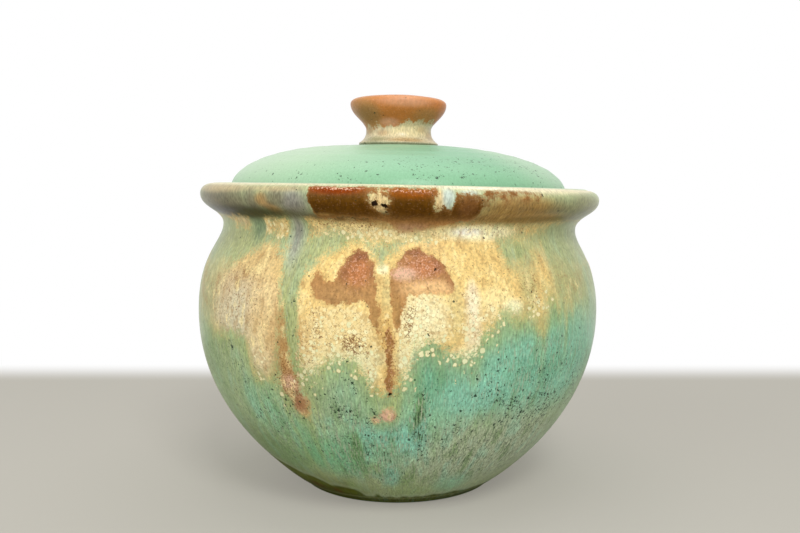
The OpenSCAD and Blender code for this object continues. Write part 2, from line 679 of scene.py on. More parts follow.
@dataclass
class RunnyGlaze:
    """A satin glaze with runs over it, read from the shell's own attributes.

    The ground carries clouds and fine streaks down the wall. A flow of ochre glaze lies over it, and rust
    lies over both. Grains of cream glaze are packed on the flow, and round beads stand along its edge. Dark
    specks and pits lie over all of it, and the clay shows where the glaze stops. A pitch is in points to
    the millimetre, and the bump's height is in millimetres.
    """

    name: str
    gloss: float
    reflection: float
    grit: float = 1.0
    spots: tuple[Spot, ...] = ()
    grain_pitch: float = 0.85
    bead_pitch: float = 0.52
    speck_pitch: float = 0.68
    dust_pitch: float = 1.3
    refraction: float = 1.5
    rust_reflection: float = 0.4
    clay_roughness: float = 0.78
    bump: float = 0.5
    bump_height: float = 0.12

    def start(self) -> None:
        """Starts the material with the shell's attributes and the noises that its coats share."""
        g = Graph(bpy.data.materials.new(self.name))
        at = g.vector("pattern_at")
        self.g = g
        self.at = at
        self.flow, self.rust, self.bare = g.split(g.vector("coats"))
        self.foam, specks, self.streaks = g.split(g.vector("marks"))
        self.pepper, self.crystals, self.stipple = g.split(g.vector("grains"))
        self.fringe, self.softness, self.dull = g.split(g.vector("edges"))
        self.ragged = g.noise(at, 0.3, 5.0, 0.6)
        self.grain = g.noise(at, 1.1, 2.0, 0.5)
        self.crumb = g.noise(at, 1.7, 1.0)
        self.fibre = g.drawn(at, 1.6, 0.24, 2.0, 0.5)
        self.lumpy = g.jittered(at, 0.6, 1.2)
        self.crumbly = g.jittered(at, 1.5, CRUMBLE)
        clumps = g.smooth(g.noise(at, 0.16, 2.0), 0.4, 0.58)
        self.density = g.times(specks, g.total(0.3, g.times(clumps, 1.4)))
        drips = g.drawn(at, 0.42, 0.06, 2.0)
        self.wander = g.total(g.swing(self.ragged, 8.0), g.swing(drips, 2.0), g.swing(self.crumb, 7.0))

    def material(self) -> bpy.types.Material:
        """Makes the node material.

        Returns:
            The material, which reads every field of GlazeFields from the mesh.
        """
        self.start()
        g = self.g
        soft = g.total(1.0, g.times(self.softness, 2.5))
        flow_share = g.smooth(g.math("DIVIDE", g.total(self.flow, self.wander), soft), -2.6, 2.2)
        uneven = g.total(g.swing(self.ragged, 6.0), g.swing(self.grain, 2.0), g.swing(self.crumb, 2.0))
        rust_depth = g.total(self.rust, uneven)
        rust_share = g.smooth(g.math("DIVIDE", rust_depth, soft), -0.5, 0.7)
        bare_share = g.smooth(g.total(self.bare, g.swing(self.ragged, 1.2)), -0.2, 0.2)

        colour = g.mix(flow_share, self.ground_colour(), self.flow_colour())
        colour = g.mix(rust_share, colour, self.rust_colour(rust_depth))
        colour, grains = self.grained(colour)
        colour, beads = self.beaded(colour)
        peppered = g.smooth(g.total(self.crumb, g.times(self.pepper, 0.16)), 0.68, 0.74)
        colour = g.laid(colour, Tint.COCOA, peppered, flow_share, 0.75)
        colour, specks = self.specked(colour, self.speck_pitch)
        colour, _ = self.specked(colour, self.dust_pitch)
        for spot in self.spots:
            colour = self.pitted(colour, spot)
        colour = g.mix(bare_share, colour, self.clay_colour())

        shine = g.total(self.gloss, g.swing(self.ragged, 0.2), g.times(flow_share, 0.05))
        height = g.total(
            g.swing(self.grain, 0.8),
            g.times(flow_share, 0.3),
            g.times(g.math("MAXIMUM", beads, grains), 0.6),
            g.times(rust_share, 0.3),
            g.times(specks, -0.6),
            g.times(bare_share, -1.0),
        )
        bump = g.node("ShaderNodeBump", {
            "Strength": self.bump, "Distance": self.bump_height * MM, "Height": height,
        })
        level = g.blend(rust_share, self.reflection, self.rust_reflection * self.reflection)
        shader = g.node("ShaderNodeBsdfPrincipled", {
            "Base Color": colour,
            "Roughness": g.blend(bare_share, shine, self.clay_roughness),
            "Normal": bump.outputs[0],
            "IOR": self.refraction,
            "Specular IOR Level": g.blend(self.dull, level, 0.0),
        })
        g.node("ShaderNodeOutputMaterial", {"Surface": shader.outputs[0]})
        return g.owner

    def ground_colour(self) -> Socket:
        """The ground with clouds, fine streaks down the wall, dark threads, and pale and dark flecks.

        Returns:
            The colour.
        """
        g, fibre, streaks = self.g, self.fibre, self.streaks
        cloud = g.drawn(self.at, 0.2, 0.07, 3.0)
        brushed = g.times(g.swing(g.drawn(self.at, 1.7, 0.55, 1.5, 0.5), 2.2), self.stipple)
        streaked = g.times(g.swing(fibre, 2.3), streaks)
        colour = g.laid(g.colour("ground"), Tint.DEEP, g.smooth(cloud, 0.5, 0.66), streaks, 0.6)
        colour = g.laid(colour, Tint.AQUA, g.smooth(cloud, 0.5, 0.36), streaks, 0.35)
        colour = g.scaled(colour, g.total(1.0, brushed, streaked))
        patchy = g.times(g.smooth(g.noise(self.at, 0.15, 2.0), 0.34, 0.54), streaks)
        colour = g.laid(colour, Tint.THREAD, g.smooth(fibre, 0.54, 0.65), patchy, 0.8)
        colour = g.laid(colour, Tint.MILK, g.smooth(fibre, 0.46, 0.33), streaks, 0.65)
        fleck = g.noise(self.at, 1.4, 1.0)
        flecked = g.times(self.stipple, g.math("MINIMUM", g.times(streaks, 1.4), 1.0))
        colour = g.laid(colour, Tint.MILK, g.smooth(fleck, 0.56, 0.68), flecked, 0.45)
        return g.laid(colour, Tint.THREAD, g.smooth(fleck, 0.44, 0.32), flecked, 0.5)

    def flow_colour(self) -> Socket:
        """The flow with clouds, deeper under the foam, and with tan freckles.

        Returns:
            The colour.
        """
        g = self.g
        cloud = g.drawn(self.at, 0.3, 0.17, 4.0, 0.6)
        colour = g.laid(g.colour("flow"), Tint.CREAM, g.smooth(cloud, 0.5, 0.68), 0.6)
        colour = g.laid(colour, Tint.TAN, g.smooth(cloud, 0.5, 0.32), 0.5)
        colour = g.laid(colour, Tint.SEAM, g.smooth(self.foam, -3.0, 2.0), 0.6)
        colour = g.scaled(colour, g.total(1.0, g.swing(self.grain, 1.0)))
        freckles = g.smooth(g.drawn(self.at, 0.9, 0.5, 1.0), 0.57, 0.7)
        return g.laid(colour, Tint.TAN, freckles, 0.4)

    def rust_colour(self, depth: Socket) -> Socket:
        """The rust glaze: browner along its edge, mottled, and with rosy crystal flecks, some of which are
        painted glints.

        Args:
            depth: depth in the rust, in millimetres.

        Returns:
            The colour.
        """
        g = self.g
        colour = g.laid(g.colour("rust"), Tint.BROWN, g.smooth(depth, 2.4, 0.2), 0.35)
        mottle = g.swing(g.drawn(self.at, 0.6, 0.4, 2.0, 0.5), 0.8 * self.grit)
        uneven = g.total(1.0, g.swing(self.grain, 0.9 * self.grit), mottle, g.swing(self.fibre, 0.3))
        colour = g.scaled(colour, uneven)
        # Rosy crystal flecks; where the glint touches are dense they are painted glints
        flecks = g.smooth(g.total(g.noise(self.at, 1.5, 1.0), g.times(self.crystals, 0.14)), 0.62, 0.72)
        return g.laid(colour, Tint.BLUSH, flecks, self.crystals, 0.85)

    def shown(self, crowd: Socket, odds: Socket, spread: float) -> Socket:
        """Whether a grain or bead shows: its own chance, spread so far, carries it into the crowd.

        Args:
            crowd: depth in the crowd, in millimetres.
            odds: the grain's own chance.
            spread: how far the chances spread, in millimetres.

        Returns:
            1 where it shows and 0 where it doesn't.
        """
        g = self.g
        carried = g.total(crowd, g.times(self.wander, 0.3), g.swing(odds, spread), 0.5)
        return g.smooth(carried, -0.5, 0.5)

    def grained(self, colour: Socket) -> tuple[Socket, Socket]:
        """Packed grains of cream glaze, with seams between them that turn brown where there is pepper.

        Args:
            colour: what lies under the grains.

        Returns:
            The colour with grains, and the share that they cover.
        """
        g = self.g
        odds, _, hue = g.split(g.cells(self.crumbly, self.grain_pitch).outputs["Color"])
        shown = self.shown(self.foam, odds, 12.0)
        seam = g.cells(self.crumbly, self.grain_pitch, Reach.EDGE).outputs["Distance"]
        share = g.times(shown, g.smooth(seam, 0.0, 0.1))
        cream = g.mix(0.45, g.mix(hue, Tint.CREAM.rgba, Tint.PEARL.rgba), g.colour("flow"))
        colour = g.mix(g.times(share, 0.75), colour, cream)
        crowd = g.total(g.noise(self.crumbly, 0.4, 2.0), g.times(self.pepper, 0.3))
        brown = g.times(g.smooth(crowd, 0.6, 0.74), g.smooth(seam, 0.13, 0.05))
        return g.laid(colour, Tint.COCOA, brown, shown, 0.85), share

    def beaded(self, colour: Socket) -> tuple[Socket, Socket]:
        """Round beads of pale glaze, each with a darker ring.

        Args:
            colour: what lies under the beads.

        Returns:
            The colour with beads, and the share that they cover.
        """
        g = self.g
        point = g.cells(self.lumpy, self.bead_pitch)
        odds, size, hue = g.split(point.outputs["Color"])
        past = g.math("SUBTRACT", point.outputs["Distance"], g.total(0.3, g.times(size, 0.24)))
        shown = self.shown(self.fringe, odds, 18.0)
        bead = g.times(g.smooth(past, 0.03, -0.06), shown)
        colour = g.laid(colour, Tint.SEAM, g.smooth(past, 0.13, 0.02), shown, 0.45)
        pale = g.mix(0.3, g.mix(hue, Tint.MINT.rgba, Tint.PEARL.rgba), g.colour("flow"))
        return g.mix(g.times(bead, 0.85), colour, pale), bead

    def specked(self, colour: Socket, pitch: float) -> tuple[Socket, Socket]:
        """Dark specks of iron, in clumps: a point shows where its own chance is under the specks' density.

        Args:
            colour: what lies under the specks.
            pitch: scattered points to the millimetre.

        Returns:
            The colour with specks, and the share that they cover.
        """
        g = self.g
        point = g.cells(self.crumbly, pitch)
        size, odds, _ = g.split(point.outputs["Color"])
        crowding = g.times(g.math("MINIMUM", self.density, 1.0), 0.12)
        radius = g.total(0.11, g.times(size, size, 0.21), crowding)
        inside = g.smooth(g.math("SUBTRACT", point.outputs["Distance"], radius), 0.04, -0.04)
        share = g.times(inside, g.math("LESS_THAN", odds, self.density))
        return g.laid(colour, Tint.SPECK, share, 0.9), share

    def pitted(self, colour: Socket, spot: Spot) -> Socket:
        """One dark pit, where the crumbled place lies within the pit's radius.

        Args:
            colour: what lies round the pit.
            spot: the pit, which is moved by the mean push of the crumbled place.

        Returns:
            The colour with the pit.
        """
        centre = tuple(part + CRUMBLE / 2 for part in spot.at)
        away = self.g.node("ShaderNodeVectorMath", {0: self.crumbly, 1: centre}, operation="DISTANCE")
        inside = self.g.smooth(away.outputs["Value"], spot.radius + PIT_EDGE, spot.radius - PIT_EDGE)
        return self.g.laid(colour, Tint.PIT, inside)

    def clay_colour(self) -> Socket:
        """Bare fired clay with darker grog in it.

        Returns:
            The colour.
        """
        g = self.g
        grog = g.smooth(g.noise(self.at, 1.6, 2.0), 0.6, 0.7)
        colour = g.mix(g.times(grog, 0.6), Tint.CLAY.rgba, Tint.GROG.rgba)
        return g.scaled(colour, g.total(1.0, g.swing(self.grain, 0.4)))


@dataclass(frozen=True)
class Hand:
    """How the potter's hand and the fire left the jar: a rim that leans and tilts a little to one side.

    The tilt grows from nothing at tilt_from to its full size at tilt_to, and the lean likewise, so the foot
    stays flat. The lid and the knob tilt with the rim that they sit in. The shift moves all of it sideways.
    """

    lean: float
    shift: float = 0.0
    tilt: float = math.tan(math.radians(1.1))
    lean_from: float = 85.0
    lean_to: float = 120.0
    tilt_from: float = 60.0
    tilt_to: float = 112.0

    def settled(self, points: np.ndarray) -> np.ndarray:
        """Moves points sideways by the lean and down by the tilt times their distance to the right.

        Args:
            points: points in millimetres.

        Returns:
            The moved points.
        """
        moved = points.copy()
        moved[..., 0] += self.shift + self.lean * smoothstep(self.lean_from, self.lean_to, points[..., 2])
        drop = self.tilt * points[..., 0]
        moved[..., 2] -= drop * smoothstep(self.tilt_from, self.tilt_to, points[..., 2])
        return moved


@dataclass
class TurnedShell:
    """A closed shell turned on the jar's axis.

    The section runs from the axis to the axis with the outside on its left, as radius and height. Row i of
    the grid is point i of the section, and column j is the angle j steps round from the back.
    """

    name: str
    section: np.ndarray
    columns: int

    @property
    def around(self) -> np.ndarray:
        """Angle of each column in degrees, as one row, from the back round by the front."""
        return np.linspace(-FULL_TURN / 2, FULL_TURN / 2, self.columns, endpoint=False)[None, :]

    @property
    def travel(self) -> np.ndarray:
        """Distance of each row along the section, in millimetres, as one column."""
        step = np.linalg.norm(np.diff(self.section, axis=0), axis=1)
        return np.concatenate([[0.0], np.cumsum(step)])[:, None]

    def surface(self, relief: np.ndarray) -> np.ndarray:
        """Carries the section round the axis.

        A point is the section's radius turned by its angle, with its height, moved along the section's
        normal by the relief. The normal is the left of the way that the section runs. Near the axis the
        relief fades out.

        Args:
            relief: millimetres to raise each point, by row and column.

        Returns:
            Points by row and column, in millimetres.
        """
        way = np.gradient(self.section, axis=0)
        way /= np.maximum(np.linalg.norm(way, axis=1, keepdims=True), 1e-9)
        free = smoothstep(0.0, 4.0, self.section[:, :1])
        radius = self.section[:, :1] - way[:, 1:] * relief * free
        height = self.section[:, 1:] + way[:, :1] * relief * free
        angle = np.radians(self.around)
        return np.stack([radius * np.sin(angle), -radius * np.cos(angle), height + 0.0 * angle], axis=-1)

    def mesh(self, points: np.ndarray) -> bpy.types.Mesh:
        """Puts the grid into a mesh, with quads between the rows and a fan of triangles round each pole.

        Args:
            points: points by row and column, in millimetres; the first and last rows are the poles.

        Returns:
            The mesh, smooth shaded, with its bake map.
        """
        ring = np.concatenate([points[:1, 0], points[1:-1].reshape(-1, 3), points[-1:, 0]]) * MM
        quads, first_fan = ring_faces(len(points) - 2, self.columns)
        last_ring = first_fan + (len(points) - 3) * self.columns
        last_pole = np.full(self.columns, len(ring) - 1)
        last_fan = np.stack([last_ring[:, 1], last_pole, last_ring[:, 2]], axis=-1)
        corners = np.concatenate([quads.ravel(), first_fan.ravel(), last_fan.ravel()])
        sizes = np.concatenate([np.full(quads.size // 4, 4), np.full(2 * self.columns, 3)])
        starts = np.concatenate([[0], np.cumsum(sizes)[:-1]])

        made = bpy.data.meshes.new(self.name)
        made.vertices.add(len(ring))
        made.vertices.foreach_set("co", ring.astype(np.float32).ravel())
        made.loops.add(len(corners))
        made.loops.foreach_set("vertex_index", corners.astype(np.int32))
        made.polygons.add(len(sizes))
        made.polygons.foreach_set("loop_start", starts.astype(np.int32))
        made.polygons.foreach_set("use_smooth", np.ones(len(sizes), bool))
        made.update(calc_edges=True)
        made.validate()
        self.map_for_baking(made)
        return made

    def map_for_baking(self, made: bpy.types.Mesh) -> None:
        """Lays the shell out as a rectangle: the angle across and the travel along the section up.

        Args:
            made: the mesh, with its quads first, then the fans of its two poles.
        """
        step = 1.0 / self.columns
        j = np.arange(self.columns) * step
        v = self.travel[:, 0] / self.travel[-1, 0]
        low, high = v[1:-2, None] + 0.0 * j, v[2:-1, None] + 0.0 * j
        left = j + 0.0 * low
        quads = np.stack([left, low, left, high, left + step, high, left + step, low], axis=-1)
        zero = 0.0 * j
        first_fan = np.stack([j + step / 2, zero + v[0], j, zero + v[1], j + step, zero + v[1]], axis=-1)
        last_fan = np.stack([j, zero + v[-2], j + step / 2, zero + v[-1], j + step, zero + v[-2]], axis=-1)
        layer = made.uv_layers.new(name="OFBake")
        flat = np.concatenate([quads.ravel(), first_fan.ravel(), last_fan.ravel()])
        layer.uv.foreach_set("vector", flat.astype(np.float32))

    def note(self, made: bpy.types.Mesh, name: str, values: np.ndarray, kind: Kind) -> None:
        """Stores three numbers or a colour for each point of the grid.

        Args:
            made: the mesh.
            name: the attribute's name.
            values: three numbers by row and column.
            kind: what they are.
        """
        flat = np.concatenate([values[:1, 0], values[1:-1].reshape(-1, 3), values[-1:, 0]])
        entry = "vector"
        if kind is Kind.COLOUR:
            flat = np.concatenate([flat, np.ones((len(flat), 1))], axis=1)
            entry = "color"
        attribute = made.attributes.new(name, kind.value, "POINT")
        attribute.data.foreach_set(entry, flat.astype(np.float32).ravel())


@dataclass
class GlazeFields:
    """What a shell's glaze reads at each row and column.

    coats holds the depth of the flow, of the rust and of the bare clay, in millimetres. marks holds the
    depth of the foam of grains, the density of specks and the strength of streaks. grains holds the density
    of pepper in the flow, the density of crystal flecks in the rust, some of them painted glints, and the
    strength of the stipple. edges holds how thickly round beads stand, how soft the edges of the flow and
    the rust are, and how dull the glaze is.
    """

    pattern_at: np.ndarray
    ground: np.ndarray
    flow: np.ndarray
    rust: np.ndarray
    coats: np.ndarray
    marks: np.ndarray
    grains: np.ndarray
    edges: np.ndarray

    def put(self, shell: TurnedShell, made: bpy.types.Mesh) -> None:
        """Stores all of it on the mesh, each field under its own name.

        Args:
            shell: the shell.
            made: its mesh.
        """
        for name in ("pattern_at", "coats", "marks", "grains", "edges"):
            shell.note(made, name, getattr(self, name), Kind.NUMBERS)
        for name in ("ground", "flow", "rust"):
            shell.note(made, name, getattr(self, name), Kind.COLOUR)


def stand(made: bpy.types.Mesh, body: Body, slot: Slot, node: str, finish: RunnyGlaze) -> bpy.types.Object:
    """Puts a finished shell in the scene in place of its node.

    Args:
        made: the shell's mesh.
        body: the body that it rides on.
        slot: the record's slot for its finish; not used.
        node: the node that it stands for.
        finish: its glaze.

    Returns:
        The piece.
    """
    made.materials.append(finish.material())
    piece = bpy.data.objects.new(made.name, made)
    bpy.context.scene.collection.objects.link(piece)
    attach(piece, body.value)
    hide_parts(node)
    log.info("%s: %d faces on %s", piece.name, len(made.polygons), body.value)
    return piece


@dataclass
class Jar:
    """The thrown jar: its section in millimetres, and the glazes that ran down its outside.

    A fullness is how far a curve's handle reaches, as a share of the curve's height.
    """

    hand: Hand
    rim_r: float = 84.5
    rim_edge: float = 4.5
    rim_roll: float = 5.2
    neck_r: float = 75.2
    neck_drop: float = 16.7
    belly_z: float = 73.5
    wall: float = 6.5
    foot_r: float = 41.0
    foot_bevel: float = 1.2
    foot_flare: float = 57.0
    foot_ring: float = 7.0
    foot_hollow: float = 3.0
    floor_z: float = 10.0
    floor_flat: float = 21.0
    seat_r: float = 72.5
    ledge_r: float = 63.5
    ledge_t: float = 3.0
    top_fall: float = 0.6
    soft: float = 1.2
    floor_fullness: float = 0.5
    foot_fullness: float = 0.25
    belly_fullness_low: float = 0.52
    belly_fullness_high: float = 0.65
    neck_fullness: float = 0.2
    ledge_fullness: float = 0.4
    lip_fullness_low: float = 0.43
    lip_fullness_high: float = 0.53
    uneven: float = 0.25
    inset: float = 0.45
    flow_thick: float = 0.2
    rust_thick: float = 0.25
    halo: float = 0.6
    curds: float = 0.25
    # pool: strength of the dark pool at the foot, which is partly painted shade
    pool: float = 0.95
    spot_rise: float = 2.0
    clay_in: float = 0.5
    clay_out: float = 0.3
    clay_down: float = 2.0
    foam_depth: float = 4.0
    foam_fall: float = 14.0
    foam_off_rust: float = 3.0
    fringe_depth: float = 3.0
    bead_gain: float = 20.0
    bead_start: float = 16.0
    speck_veil: float = 0.07
    neck_calm: float = 0.85
    columns: int = 384
    bevel_rows: int = 3

    # The flow over the shoulder, the flow round the neck, and drops of it below
    flow = Band(
        foot=Edge((
            (-180, 84), (-172, 74), (-164, 80), (-152, 92), (-146, 84), (-142, 79), (-136, 83),
            (-132, 82), (-128, 75), (-125, 69), (-123, 71), (-120, 80), (-116, 88), (-112, 86),
            (-108, 90), (-101, 82), (-94, 78), (-87, 96), (-82, 112), (-74, 112), (-70, 98), (-66, 92),
            (-58, 90), (-55, 86), (-50, 85), (-46, 86), (-42, 86), (-40, 84), (-39, 79), (-38, 73),
            (-36, 71), (-33, 71), (-31, 75), (-29.7, 84), (-28.8, 106), (-24.4, 106), (-23.8, 86),
            (-23, 77), (-21, 74.5), (-19, 76), (-17, 79), (-14, 80.5), (-10, 80), (-8, 76), (-6.4, 72),
            (-5, 69), (-3.5, 67.5), (-1.5, 68.5), (0, 70), (1.5, 74.5), (3, 77.5), (4, 82.5),
            (5.5, 86), (8, 87.5), (9.3, 86), (11, 84), (13, 82.5), (14.5, 81.5), (16.5, 81), (18, 82),
            (19.3, 85), (20.5, 89), (23, 91.5), (26, 96), (28, 96), (29.5, 94.5), (31, 96), (34, 95.5),
            (36, 94), (38, 90), (39.5, 97), (41, 101), (44, 101), (46.5, 109), (48, 99), (50, 98),
            (52, 101), (56, 99), (60, 104), (63, 112), (78, 112), (82, 98), (88, 90), (97, 76),
            (104, 88), (108, 79), (114, 83), (118, 82), (122, 75), (125, 69), (127, 71), (130, 80),
            (134, 88), (138, 86), (142, 90), (155, 86), (166, 92),
        )),
        head=Edge((
            (-180, 112), (-160, 116), (-146, 113), (-140, 117), (-134, 120), (-129, 117), (-126, 113),
            (-122, 119), (-116, 122), (-108, 116), (-100, 113), (-80, 112), (-66, 107), (-57, 108),
            (-50, 109), (-47, 112), (-43, 115), (-40, 118), (-35, 119), (-31.5, 115), (-30, 109),
            (-28.8, 98), (-24.4, 98), (-23.5, 108), (-20, 114), (-17, 117), (-14, 119), (-11, 121),
            (-9, 121), (-7, 118), (-5, 114), (-4, 112.5), (-3, 114), (-1.5, 117), (0, 119.5),
            (2, 121.5), (5, 122.5), (8, 123), (10, 126), (12, 129), (26, 129), (27.5, 120), (29, 113),
            (31, 111), (34, 112), (37, 112), (39, 115), (41, 117.5), (43, 116), (45, 109), (49, 111),
            (52, 108), (57, 107), (66, 108), (90, 112), (104, 112), (110, 117), (116, 120), (121, 117),
            (124, 113), (128, 119), (134, 122), (142, 116), (150, 118),
        )),
    )
    neck_flow = Band(
        foot=Edge((
            (-180, 124), (-150, 127), (-120, 124), (-90, 126), (-62, 129), (-56, 125), (-48, 125),
            (-46.5, 134), (-40.6, 134), (-40, 123.5), (-32, 123), (-31, 134), (-25.6, 134),
            (-24.8, 124.5), (-16, 124.5), (-8, 122.5), (-6, 120.5), (-3, 121.5), (0, 122.5),
            (8, 122.5), (14, 122), (28, 123), (38, 124.5), (44, 127), (60, 131), (90, 126), (120, 124),
            (150, 126),
        )),
        head=Edge((
            (-180, 129), (-60, 128), (-30, 128), (-24, 128.6), (-4, 130), (0, 131), (8, 131),
            (16, 129), (30, 127.4), (60, 127), (90, 129),
        )),
    )
    flow_spots = (
        Blot(-2.2, 58.6, 2.0, 2.9), Blot(-5.0, 56.3, 0.9, 1.2),
        Run(((-28.6, 98, 0.8), (-28.4, 86, 1.8), (-27.8, 77, 2.6), (-27.4, 72, 2.8), (-27.0, 64, 1.8))),
        Blot(-27.2, 69.5, 3.0, 5.0), Blot(-25.0, 61, 2.4, 4.6),
    )

    # The rust: patches and a drip in front, their echoes at the back, the rim's rust and its holes
    patches = Band(
        foot=Edge((
            (-22, 112), (-21, 104), (-20, 101), (-18, 99), (-15, 98), (-12, 98.5), (-9, 100),
            (-7, 98.5), (-6, 94), (-5, 90), (-4.3, 87.5), (-3.7, 92), (-3, 104), (-2.2, 113),
            (-1.5, 103), (-1, 95), (-0.3, 88.5), (0.6, 92), (1.6, 98), (2.8, 102), (6, 102.5),
            (9, 102), (12, 102.5), (13.5, 103.5), (14.4, 110),
        )),
        head=Edge((
            (-22, 100), (-21, 107), (-20, 110), (-18.5, 109), (-17.5, 106.5), (-15.4, 106),
            (-14.4, 110), (-13.5, 113), (-12, 116.5), (-10.3, 118.8), (-8.5, 117.5), (-7.5, 116),
            (-6, 112), (-5, 107), (-4.5, 100), (-3.7, 95), (-3, 86), (-2.2, 102), (-1.4, 111),
            (0, 115.5), (1.5, 118), (5, 119.3), (8, 118), (10, 116), (12, 112), (13.5, 108),
            (14.4, 99),
        )),
    )
    drip = Run(((-1.8, 93, 0.5), (-1.6, 84, 1.4), (-1.6, 74, 1.6), (-1.7, 67.3, 1.3)))
    rust_shapes = (
        *echoed(patches, drip),
        Band(
            foot=Edge((
                (-22.2, 150), (-21.9, 139), (-21.7, 133), (-21.3, 129.6), (-19, 130), (-9, 130.6),
                (-3.6, 129.2), (-2, 127), (0, 125), (2, 124.2), (5, 124.5), (8, 126.2), (10, 127.4),
                (14, 128.8), (18.6, 130), (19.6, 134), (20.3, 138.6), (22, 137.6), (25, 137.4),
                (26.8, 139), (27.6, 142.2), (28.6, 140.4), (31, 139.4), (33.6, 140.4), (35.4, 140),
                (36.8, 142.6), (38.5, 150), (88, 150), (94, 138), (99, 132), (106, 135), (112, 130),
                (118, 132), (123, 140), (127, 150), (146, 150), (152, 139), (158, 131), (166, 129),
                (172, 133), (178, 138), (-176, 150), (-142, 150), (-136, 137), (-130, 131),
                (-122, 129), (-114, 134), (-108, 141), (-103, 150),
            )),
            head=Edge((
                (-180, 144), (-60, 144), (-22, 145), (-9, 145), (0, 144.8), (8.6, 144.6), (9.6, 140.5),
                (10.4, 137), (11.6, 136.6), (12.4, 138.4), (13, 143), (14.4, 141), (16, 143),
                (19.4, 142), (20.4, 144.4), (40, 143.6),
            )),
        ),
        Run(((98, 96, 1.0), (97.5, 80, 1.8), (97, 72, 2.2))),
    )
    rust_holes = (
        Blot(-6.2, 140.2, 0.9, 2.2), Blot(-4.9, 141, 0.8, 2.6), Blot(-3.2, 139.6, 0.7, 2.2),
        Blot(-4.4, 136.2, 1.0, 1.6), Blot(-3.8, 133.6, 0.6, 1.4), Blot(9.2, 139.6, 0.9, 3.2),
        Blot(17.4, 142.8, 0.7, 1.2), Blot(21.6, 138.6, 0.9, 1.8), Blot(24, 139.4, 1.2, 1.4),
        Blot(26.6, 141.8, 0.8, 1.6), Blot(30.4, 142.4, 0.9, 1), Blot(33.4, 141.4, 0.9, 1.3),
        Blot(36, 142.8, 0.9, 1.2),
    )

    # The dark pool of glaze at the foot, with painted shade low on the jar where it turns under, and the
    # calm glaze about it
    foot_line = Edge((
        (-180, 5), (-140, 7), (-100, 9), (-72, 20), (-60, 24), (-52, 22), (-46, 20.4), (-41, 17.6),
        (-37, 17.6), (-33, 15), (-30, 11.8), (-27, 12.6), (-22, 12), (-18.4, 11), (-16.4, 8.4),
        (-15.2, 5), (-11, 5.4), (-9, 8.5), (-7, 5), (-3, 6), (0, 4.6), (3, 6.4), (6, 5), (9, 6),
        (13, 5.2), (17, 7), (22, 6), (28, 7.4), (36, 5.4), (44, 6.6), (60, 5), (90, 7), (130, 5),
    ))
    foot_strokes = (
        Stroke(-50, 15, 16, 5, 0.6, Tint.OLIVE),
        Stroke(-34, 12, 5, 2, 0.6, Tint.OLIVE),
        Stroke(-22, 8, 5, 2.4, 0.5, Tint.OLIVE),
        Stroke(-29, 7, 2.4, 3, 0.7, Tint.UMBER),
        Stroke(-40, 9, 4, 3, 0.6, Tint.UMBER),
        Stroke(10, 3.4, 60, 0.5, 0.5, Tint.SEDGE),
    )
    calm = Touch(-46, 4, 34, 15, 0.9)

    # Pits, each an angle, a height and a radius in millimetres
    pits = (
        (-5.9, 138.2, 1.1), (-3.8, 137.6, 0.8), (-3.3, 137.0, 0.7), (-3.2, 134.2, 0.6),
        (-1.7, 67.4, 0.6), (9.2, 111.2, 0.5), (7.2, 88.6, 0.45), (26.0, 124.0, 0.35),
        (23.4, 123.0, 0.35), (37.0, 142.6, 0.5),
    )

